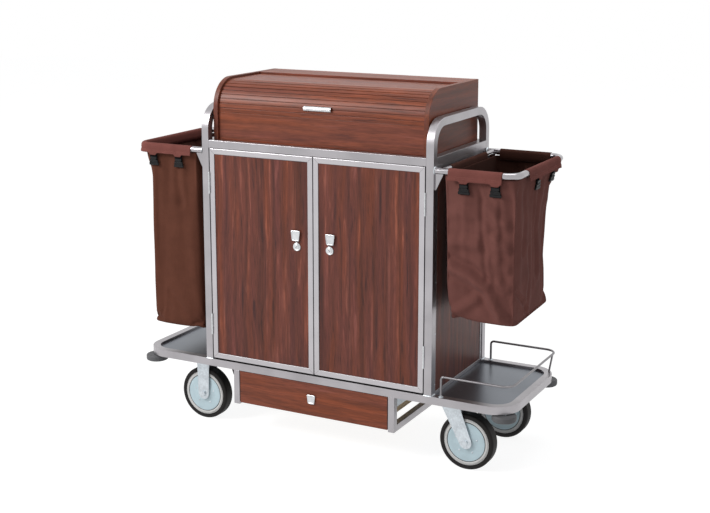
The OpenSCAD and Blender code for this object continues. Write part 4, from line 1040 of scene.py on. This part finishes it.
class TROLLEY_OT_bags(bpy.types.Operator):
    """Hang the two laundry bags, with their hems, stitching, straps and clips"""
    bl_idname = "trolley.bags"
    bl_label = "Laundry bags"

    def execute(self, context):
        sizes = context.scene.trolley_bags
        for side, sign, cloth_finish in (("left", -1, "oxford_polyester_browned"),
                                         ("right", 1, "oxford_polyester")):
            foot_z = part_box(side + "_bag")[0].z
            cloth = self.cloth(side, sign, foot_z, sizes, finish(cloth_finish))
            outer, shaded_hems = bag_hems(side, sign)
            depth = sizes.hem_drop - HEM_SHORT[side]
            hems = self.hems(side + "_bag_hems", outer, finish("oxford_polyester_hem"), depth, sizes)
            inner_hems = self.hems(side + "_bag_rear_hems", shaded_hems, finish("polyester_inside_shade"), depth,
                                   sizes)
            stitches = self.stitches(side, outer + shaded_hems[:1], sizes)
            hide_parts(side + "_bag")
        self.clips(sizes)
        return {"FINISHED"}

    def flat_area(self, side, foot_z):
        """Area of the cut cloth: the four walls and the bottom."""
        tall = BAR_Z - foot_z
        rounds = []
        for share in (0.0, 0.25, 0.5, 0.75, 1.0):
            corners = bag_corners(side, share * tall)
            rounds.append(sum((corners[i] - corners[i - 1]).length for i in range(4)))
        a, b, c, d = bag_corners(side, tall)
        bottom = (c - a).length * (d - b).length / 2
        return sum(rounds) / len(rounds) * tall + bottom

    def cloth(self, side, sign, foot_z, sizes, cloth_finish):
        """The bag's walls and bottom as one hung shell."""
        rim_z = BAR_Z - BAR_R - RIM_GAP
        tall = rim_z - foot_z
        rows = round(tall / ROW)
        shape = Shape()
        rings, ways, moves, held = [], [], [], []
        for r in range(rows + 1):
            drop = BAR_Z - rim_z + r / rows * tall
            corners = bag_corners(side, drop)
            slim = min(1.0, drop / (ROUND_UNTIL * MM))
            outer_round = BEND + (sizes.corner - BEND) * slim * slim * (3 - 2 * slim)
            # the corners round off again where the walls turn under into the bottom
            above_foot = BAR_Z - foot_z - drop
            turned_under = sizes.foot_round * max(0.0, 1 - above_foot / (2 * sizes.foot_round)) ** 2
            radii = [radius + turned_under for radius in
                     (sizes.corner, outer_round, outer_round, sizes.corner)]
            points = []
            for p, way, face, share in perimeter(corners, radii, FACE_POINTS):
                lift = self.foot_lift(side, face, share) * (r / rows) ** 2
                place = Vector((sign * p.x, p.y, BAR_Z - drop + lift))
                ways.append(Vector((sign * way.x, way.y, 0)))
                moves.append(self.relief(side, p, face, share, 1 - r / rows, drop, tall, sizes))
                if self.gripped(p, face, drop):
                    held.append(len(ways) - 1)
                points.append(place)
            rings.append(points)
        middle = sum(rings[rows], Vector()) / len(rings[rows])
        centre = Vector((middle.x, middle.y, foot_z))
        for share in (0.97, 0.8, 0.55, 0.3, 0.08):      # the bottom's rings, as shares of the foot's
            rings.append([centre + (p - centre) * share for p in rings[rows]])
        per_ring = len(rings[0])
        shape.loft(rings, capped=False)
        last = len(shape.points) - per_ring
        shape.faces.append(tuple(range(last, last + per_ring)))
        cloth = shape.build(side + "_bag_cloth", cloth_finish, "root", "bag_cloth", angle=180)
        held += list(range(per_ring)) + list(range(rows * per_ring, len(shape.points)))
        hang(cloth, held, sizes.slack)
        for i, (way, move) in enumerate(zip(ways, moves)):
            vertex = cloth.data.vertices[i]
            x, y, z = vertex.co
            row = i // per_ring
            ripple = noise.noise(Vector((x, y, 0.6 * z)) * RIPPLES)
            swell = noise.noise(Vector((x, y, 0.5 * z)) * SWELLS + Vector((5, 2, 1)))
            fade = min(1.0, row / 5, (rows - row) / 4)
            vertex.co += way * fade * (RIPPLE_DEPTH * ripple + SWELL_DEPTH * swell + move)
        smooth = cloth.modifiers.new("soft_cloth", "SUBSURF")
        smooth.levels = smooth.render_levels = 1
        thick = cloth.modifiers.new("cloth_gauge", "SOLIDIFY")
        thick.thickness = sizes.gauge
        thick.offset = 0.0
        return cloth

    def foot_lift(self, side, face, share):
        """How far the foot is drawn up near the front inner edge."""
        if face == FRONT:
            near = 1 - share
        elif face == INNER:
            near = share
        else:
            near = 1.0 if face is None and share else 0.0
        return FOOT_LIFT[side] * near ** 4

    def gripped(self, p, face, drop):
        """Whether a clip's jaw holds the cloth at a point of the wall."""
        if face in (FRONT, REAR):
            near = min(abs(p.x - x) for x in CLIP_X)
        elif face == OUTER:
            near = min(abs(p.y - y) for y in CLIP_Y)
        else:
            return False
        return near < JAW[0] and abs(drop - CLIP_DROP) < JAW[1]

    def relief(self, side, p, face, share, up, drop, tall, sizes):
        """How far a point of the wall is moved outward by its creases and by the clips' pull."""
        if face is None:
            return 0.0
        creases = sum(fold.sink(share, up, FACE_SPAN[face], tall / MM) for fold in BAG_FOLDS[side][face])
        pull = 0.0
        if face != INNER:
            near = min(abs(p.x - x) for x in CLIP_X) if face in (FRONT, REAR) \
                else min(abs(p.y - y) for y in CLIP_Y)
            below = max(0.0, drop - CLIP_DROP) / CLIP_REACH[1]
            pull = (sizes.pull + sizes.hollow) * math.exp(-(near / CLIP_REACH[0]) ** 2) - sizes.hollow
            pull *= math.exp(-below * below)
        return pull - creases * sizes.crease * min(1.0, drop / CREASES_FROM)

    def hem_line(self, bar_r, drop):
        """The hem's section from inside the bag, over the bar and down outside: (outward, up) pairs."""
        ring = bar_r + 0.9 * MM         # the sleeve goes round the bar clear of it
        line = [(-ring - 0.4 * MM, -bar_r - 16 * MM), (-ring, -bar_r), (-ring, -0.3 * bar_r)]
        line += [(-ring * math.cos(t), ring * math.sin(t))
                 for t in (math.pi * k / 10 for k in range(1, 10))]
        line += [(ring + 0.2 * MM, -0.15 * bar_r), (ring + 0.5 * MM, -0.5 * bar_r)]
        # the seam that closes the sleeve pulls the band in a little below the bar
        line += [(ring - 0.4 * MM, -bar_r - 1 * MM), (ring + 1.1 * MM, -bar_r - 4 * MM)]
        steps = 4
        for k in range(1, steps + 1):
            at = k / steps
            line.append((ring + (1.6 + 1.2 * at) * MM, -bar_r - 4 * MM - (drop - bar_r - 4 * MM) * at))
        return line

    def hems(self, name, runs, cloth_finish, depth, sizes):
        """The sleeves round the bars; each hangs lower at its clips."""
        shape = Shape()
        for run in runs:
            rings = []
            for middle, out in run.samples:
                drop = depth
                for clip in run.clips:
                    near = (middle - clip).length
                    drop += sizes.tab_drop * 0.5 * (1 - math.tanh((near - TAB[0]) / TAB[1]))
                drop += HEM_WAVER * noise.noise(middle * HEM_WAVES)
                puff = PUFF * noise.noise(middle * PUFFS + Vector((3, 1, 2)))
                rings.append([middle + out * (o + (puff if u < 0 < o else 0)) + Vector((0, 0, u))
                              for o, u in self.hem_line(run.bar_r, drop)])
            shape.loft(rings, closed=False, capped=False)
        hems = shape.build(name, cloth_finish, "root", "bag_cloth", angle=60)
        thick = hems.modifiers.new("double_cloth", "SOLIDIFY")
        thick.thickness = 1.2 * sizes.gauge
        thick.offset = 0.0
        return hems

    def stitches(self, side, runs, sizes):
        """Two rows of stitches along each hem: under the bar and above the lower edge."""
        shape = Shape()
        for run in runs:
            # how far below the bar's middle, and how far out from the bar's face
            rows = ((run.bar_r + 2 * MM, 1.5 * MM), (sizes.hem_drop - 8 * MM, 3.3 * MM))
            for (a, out), (b, _) in zip(run.samples[1:], run.samples[2:]):
                for drop, stand in rows:
                    middle = (a + b) / 2 - Vector((0, 0, drop)) + out * (run.bar_r + stand)
                    half = (b - a) * 0.34       # a stitch takes two thirds of its pitch
                    crown = out * 0.4 * MM
                    shape.rod([middle - half, middle - half * 0.5 + crown,
                               middle + half * 0.5 + crown, middle + half], THREAD_R, 6)
        return shape.build(side + "_bag_stitches", finish("sewing_thread"), "root", "bag_cloth")

    def clips(self, sizes):
        """Black snap clips: a webbing loop out of the hem, which also darkens the gap behind the clip as
        painted shade, a bridge with its pin, and a wide jaw.
        """
        plastic, webbing = Shape(), Shape()
        for side, sign in (("left", -1), ("right", 1)):
            a, b, c, d = bag_corners(side, CLIP_DROP)
            outer, shaded_hems = bag_hems(side, sign)
            for run in outer + shaded_hems:
                for clip in run.clips:
                    out = min(run.samples, key=lambda sample: (sample[0] - clip).length)[1]
                    if abs(out.x) > 0.5:
                        wall = b.x + (c.x - b.x) * (clip.y - b.y) / (c.y - b.y) - BAR_X
                    else:
                        share = (abs(clip.x) - a.x) / (b.x - a.x)
                        wall = (abs(a.y + (b.y - a.y) * share) if out.y < 0
                                else d.y + (c.y - d.y) * share) - BAR_Y
                    stand = run.bar_r + CLIP_STAND
                    lean = math.atan((stand - wall - sizes.pull - JAW_STAND) / CLIP_DROP)
                    one_clip(plastic, webbing, clip + out * stand, out, lean)
        made = plastic.build("bag_snap_clips", finish("moulded_acetal"), "root", "clip_plastic")
        webbing.build("bag_clip_straps_and_gap_shade", finish("black_webbing"), "root", "clip_plastic")
        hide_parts("bag_clips")


def one_clip(plastic, webbing, top, out, lean):
    """One clip that hangs from a point of the hem's face and leans with the wall."""
    across = Vector((0, 0, 1)).cross(out)
    down = (Vector((0, 0, -1)) * math.cos(lean) - out * math.sin(lean)).normalized()
    face = across.cross(down)
    if face.dot(out) < 0:
        face = -face
    turn = Matrix((across, face, down)).transposed()
    # a black webbing strap behind the clip, partly painted shade of the gap between clip and hem
    webbing.block(top + down * (CLIP_TOP + 2 * MM) - face * 1.6 * MM, (32 * MM, 1.8 * MM, 26 * MM), turn)
    for aside, below, size, chamfer in CLIP_BLOCKS:
        plastic.block(top + down * (CLIP_TOP + below * MM) + across * (aside * MM),
                      [s * MM for s in size], turn, chamfer * MM)
    half_pin, pin_out, pin_r = 15 * MM, 2.6 * MM, 1.5 * MM
    plastic.rod([top + down * (CLIP_TOP + 16 * MM) + across * (x * half_pin) + face * pin_out
                 for x in (-1, 1)], pin_r, 10)


def hang(cloth, held, slack, frames=26):
    """Lets spare cloth sag between its held points, and keeps the shape that it takes."""
    scene = bpy.context.scene
    cloth.vertex_groups.new(name="held").add(held, 1.0, "REPLACE")
    sag = cloth.modifiers.new("sag", "CLOTH")
    settings = sag.settings
    settings.quality = 6
    settings.mass = 0.35
    settings.tension_stiffness = settings.compression_stiffness = 12
    settings.shear_stiffness = 4
    settings.bending_stiffness = 1.4
    settings.tension_damping = settings.compression_damping = 12
    settings.bending_damping = 2.0
    settings.air_damping = 3.0
    settings.vertex_group_mass = "held"
    settings.shrink_min = -slack
    settings.shrink_max = -slack
    sag.collision_settings.use_collision = False
    sag.point_cache.frame_start = 1
    sag.point_cache.frame_end = frames
    for step in range(1, frames + 1):
        scene.frame_set(step)
    shaped = bpy.data.meshes.new_from_object(cloth.evaluated_get(bpy.context.evaluated_depsgraph_get()))
    rest = [v.co.copy() for v in cloth.data.vertices]
    for vertex, settled, before in zip(cloth.data.vertices, shaped.vertices, rest):
        moved = settled.co - before
        if moved.length > MOST_SAG:
            moved *= MOST_SAG / moved.length
        vertex.co = before + moved
    cloth.modifiers.remove(sag)
    bpy.data.meshes.remove(shaped)
    scene.frame_set(1)


# ---------- guard, bumpers and casters ----------

class TROLLEY_OT_guard_and_bumpers(bpy.types.Operator):
    """Finish the wire guard, with washers under its feet, and the corner bumpers with their plates"""
    bl_idname = "trolley.guard_and_bumpers"
    bl_label = "Guard and bumpers"

    def execute(self, context):
        dress("guard_wire", finish("drawn_steel_wire"))
        dress("bumper_mounts", finish("zinc_plated_steel"), 0.5 * MM)
        for x in ("left", "right"):
            for y in ("front", "rear"):
                dress(f"{y}_{x}_bumper", finish("moulded_bumper_rubber"))
        feet = Shape()
        low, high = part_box("guard_wire")
        radius = 4 * MM
        for y in (low.y + radius, high.y - radius):
            feet.lathe([(radius + 5 * MM, 0), (radius + 4.6 * MM, 1.6 * MM), (radius + 1.6 * MM, 2.4 * MM),
                        (radius, 4.4 * MM)], (low.x + radius, y, BASE_HIGH.z), (0, 0, 1), 24, False)
        feet.build("guard_foot_washers", finish("zinc_plated_steel"), "root", "zinc")
        return {"FINISHED"}


class TROLLEY_OT_casters(bpy.types.Operator):
    """Finish the casters, making wheel covers, rims, painted groove shade, rivets, raceways and plate bolts
    """
    bl_idname = "trolley.casters"
    bl_label = "Casters"

    def execute(self, context):
        zinc = finish("zinc_plated_steel")
        dress("caster_plates", zinc, 0.8 * MM)
        dress("fixed_forks", zinc, 0.8 * MM)
        dress("fixed_axles", zinc, 0.5 * MM)
        for y in ("front", "rear"):
            dress(y + "_swivel_fork", zinc, 0.8 * MM)
            self.raceway(y)
            for x in ("left", "right"):
                wheel = f"{y}_{x}_wheel"
                dress(wheel, finish("polyamide_wheel_rim"), 0.8 * MM)
                dress(f"{y}_{x}_tyre", finish("vulcanised_tyre_rubber"))
                self.cover(wheel)
        self.plate_bolts()
        return {"FINISHED"}

    def cover(self, wheel):
        """On both sides of a wheel: a pressed cover disc with five rivets, raised round its hub, a rounded
        pale rim, and a dark rubber ring in the groove between them, which is painted shade of the groove."""
        low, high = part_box(wheel)
        centre = (low + high) / 2
        half = WHEEL_HALF
        disc, rim, groove_shade, rivets = Shape(), Shape(), Shape(), Shape()
        rivet_ring, count = 41 * MM, 5
        for way in (-1, 1):
            # sections as (radius, distance from the wheel's middle) pairs, from the outside in
            disc.lathe([(69.6 * MM, half), (69.0 * MM, half + 1.2 * MM), (65 * MM, half + 1.6 * MM),
                        (54 * MM, half + 0.7 * MM), (46 * MM, half + 0.5 * MM),
                        (33 * MM, half + 0.9 * MM), (30 * MM, half + 2.4 * MM),
                        (22 * MM, half + 2.8 * MM), (20.5 * MM, half + 1.2 * MM)],
                       centre, (0, way, 0), 64, False)
            rim.lathe([(80.5 * MM, half - 0.2 * MM), (79.5 * MM, half + 1.2 * MM), (76 * MM, half + 1.9 * MM),
                       (73.5 * MM, half + 1.7 * MM), (72 * MM, half + 0.9 * MM),
                       (71.4 * MM, half - 0.2 * MM)], centre, (0, way, 0), 64, False)
            # dark ring in the groove between cover and rim: painted shade of the groove
            groove_shade.lathe([(71.8 * MM, half + 0.1 * MM), (71.3 * MM, half + 0.5 * MM),
                        (69.7 * MM, half + 0.5 * MM), (69.2 * MM, half + 0.1 * MM)],
                       centre, (0, way, 0), 64, False)
            for k in range(count):
                t = 2 * math.pi * k / count + 0.3
                spot = centre + Vector((math.cos(t) * rivet_ring, way * (half + 0.6 * MM),
                                        math.sin(t) * rivet_ring))
                screw(rivets, spot, (0, way, 0), 3.4 * MM, False)
        disc.build(wheel + "_covers", finish("enamelled_wheel_cover"), wheel, "wheel_plastic")
        rim.build(wheel + "_rims", finish("polyamide_wheel_rim"), wheel, "wheel_plastic")
        groove_shade.build(wheel + "_groove_shade", finish("vulcanised_tyre_rubber"), wheel, "wheel_plastic")
        rivets.build(wheel + "_rivets", finish("zinc_plated_steel"), wheel, "zinc")

    def raceway(self, y):
        """The pressed ball race under a swivel fork's crown."""
        low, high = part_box(y + "_swivel_fork")
        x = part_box("caster_plates")[1].x - PLATE_HALF[0]
        middle = (x, (low.y + high.y) / 2, high.z)
        race = Shape()
        race.lathe([(18 * MM, -5.0 * MM), (26 * MM, -5.2 * MM), (27.5 * MM, -7 * MM), (25 * MM, -11 * MM),
                    (19 * MM, -12.5 * MM)], middle, (0, 0, 1), 48, False)
        race.build(y + "_raceway", finish("zinc_plated_steel"), y + "_swivel", "zinc")

    def plate_bolts(self):
        """Four hexagon bolts with washers under each caster plate."""
        bolts = Shape()
        washer_r, washer_t, head_r = 8.5 * MM, 1.2 * MM, 6.5 * MM
        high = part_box("caster_plates")[1]
        x, y = high.x - PLATE_HALF[0], high.y - PLATE_HALF[1]
        for px in (-x, x):
            for py in (-y, y):
                for dx in (-PLATE_BOLTS[0], PLATE_BOLTS[0]):
                    for dy in (-PLATE_BOLTS[1], PLATE_BOLTS[1]):
                        spot = (px + dx, py + dy, high.z - PLATE_T)
                        bolts.lathe([(washer_r, 0), (washer_r, washer_t)], spot, (0, 0, -1), 24)
                        bolts.lathe([(head_r, washer_t), (head_r, 5.2 * MM), (5.4 * MM, 6 * MM)],
                                    spot, (0, 0, -1), 6)
        bolts.build("caster_plate_bolts", finish("zinc_plated_steel"), "root", "zinc", angle=25)


# ---------- stage ----------

class TROLLEY_OT_stage(bpy.types.Operator):
    """Set the pale floor, the studio light and the camera"""
    bl_idname = "trolley.stage"
    bl_label = "Stage"

    def execute(self, context):
        settings = context.scene.trolley_stage
        self.floor()
        self.sky(settings)
        self.lamp("key_lamp", place=(-3.3, -3.7, 3.9), aim=(0, 0, 0.7), size=2.2, power=settings.key)
        self.lamp("top_lamp", place=(0.6, 0.4, 4.2), aim=(0, 0, 0.8), size=2.4, power=settings.top)
        eye = bpy.data.cameras.new("camera")
        eye.lens = settings.lens
        eye.sensor_width = 36.0
        eye.shift_y = settings.shift
        eye.clip_end = 60.0
        camera = bpy.data.objects.new("camera", eye)
        camera.location = settings.camera_place
        camera.rotation_euler = (math.pi / 2 - settings.camera_tilt, 0.0, settings.camera_turn)
        context.scene.collection.objects.link(camera)
        context.scene.camera = camera
        context.scene.view_settings.view_transform = "Standard"
        return {"FINISHED"}

    def floor(self):
        """A wide pale floor that takes the trolley's shadow and meets the white background."""
        half = 12.0
        paint_level, white_level, white_share = 0.86, 1.28, 0.7
        mesh = bpy.data.meshes.new("floor")
        mesh.from_pydata([(-half, -half, FLOOR_Z), (half, -half, FLOOR_Z), (half, half, FLOOR_Z),
                          (-half, half, FLOOR_Z)], [], [(0, 1, 2, 3)])
        made = bpy.data.materials.new("painted_studio_floor")
        made.use_nodes = True
        tree = made.node_tree
        tree.nodes.clear()
        paint = add(tree, "BsdfDiffuse", {"Color": grey(paint_level)})
        white = add(tree, "Emission", {"Color": grey(1.0), "Strength": white_level})
        share = add(tree, "Math", {1: white_share}, {0: self.seen(tree)}, operation="MULTIPLY")
        both = add(tree, "MixShader", links={0: share.outputs[0], 1: paint.outputs[0],
                                             2: white.outputs[0]})
        add(tree, "OutputMaterial", links={"Surface": both.outputs[0]})
        mesh.materials.append(made)
        floor = bpy.data.objects.new("floor", mesh)
        bpy.context.scene.collection.objects.link(floor)

    def sky(self, settings):
        """Even studio light, and pure white where the camera or a reflection looks past the floor."""
        world = bpy.data.worlds.new("studio")
        bpy.context.scene.world = world
        world.use_nodes = True
        tree = world.node_tree
        tree.nodes.clear()
        light = add(tree, "Background", {"Color": srgb("F7F8FA"), "Strength": settings.sky})
        white = add(tree, "Background", {"Color": grey(1.0), "Strength": 1.0})
        both = add(tree, "MixShader", links={0: self.seen(tree), 1: light.outputs[0],
                                             2: white.outputs[0]})
        add(tree, "OutputWorld", links={"Surface": both.outputs[0]})

    def seen(self, tree):
        """1 where the background is seen, directly, through glass or in a reflection, and 0 where it
        only lights the trolley."""
        rays = add(tree, "LightPath")
        clear = add(tree, "Math", links={0: rays.outputs["Is Camera Ray"],
                                         1: rays.outputs["Is Transmission Ray"]}, operation="MAXIMUM")
        return add(tree, "Math", links={0: clear.outputs[0], 1: rays.outputs["Is Glossy Ray"]},
                   operation="MAXIMUM").outputs[0]

    def lamp(self, name, place, aim, size, power):
        """A soft square lamp that points at a place."""
        light = bpy.data.lights.new(name, "AREA")
        light.shape = "SQUARE"
        light.size = size
        light.energy = power
        lamp = bpy.data.objects.new(name, light)
        lamp.location = place
        lamp.rotation_euler = (Vector(aim) - Vector(place)).to_track_quat("-Z", "Y").to_euler()
        bpy.context.scene.collection.objects.link(lamp)


# ---------- panel and registration ----------

STEPS = ("steelwork", "cabinet", "doors", "roll_top", "drawer", "bags", "guard_and_bumpers", "casters",
         "stage")


class TROLLEY_PT_pieces(bpy.types.Panel):
    """Shows the trolley's steps and their settings"""
    bl_label = "Trolley"
    bl_idname = "TROLLEY_PT_pieces"
    bl_space_type = "VIEW_3D"
    bl_region_type = "UI"
    bl_category = "Trolley"

    def draw(self, context):
        for step in STEPS:
            self.layout.operator("trolley." + step)
        for group in GROUPS:
            settings = getattr(context.scene, group)
            box = self.layout.box()
            for name in settings.bl_rna.properties.keys():
                if name not in ("rna_type", "name"):
                    box.prop(settings, name)


GROUPS = {"trolley_colours": TrolleyColours, "trolley_bags": BagSizes,
          "trolley_hardware": HardwareSizes, "trolley_stage": StageSettings}
CLASSES = (TrolleyColours, BagSizes, HardwareSizes, StageSettings, TROLLEY_OT_steelwork,
           TROLLEY_OT_cabinet, TROLLEY_OT_doors, TROLLEY_OT_roll_top, TROLLEY_OT_drawer,
           TROLLEY_OT_bags, TROLLEY_OT_guard_and_bumpers, TROLLEY_OT_casters, TROLLEY_OT_stage,
           TROLLEY_PT_pieces)


def register():
    """Registers the classes and hangs their settings on the scene."""
    for each in CLASSES:
        bpy.utils.register_class(each)
    for group, kind in GROUPS.items():
        setattr(bpy.types.Scene, group, bpy.props.PointerProperty(type=kind))


def unregister():
    """Takes the settings and the classes away again."""
    for group in GROUPS:
        delattr(bpy.types.Scene, group)
    for each in reversed(CLASSES):
        bpy.utils.unregister_class(each)


def main():
    """Builds the whole trolley."""
    register()
    for step in STEPS:
        getattr(bpy.ops.trolley, step)()


if __name__ == "__main__":
    main()
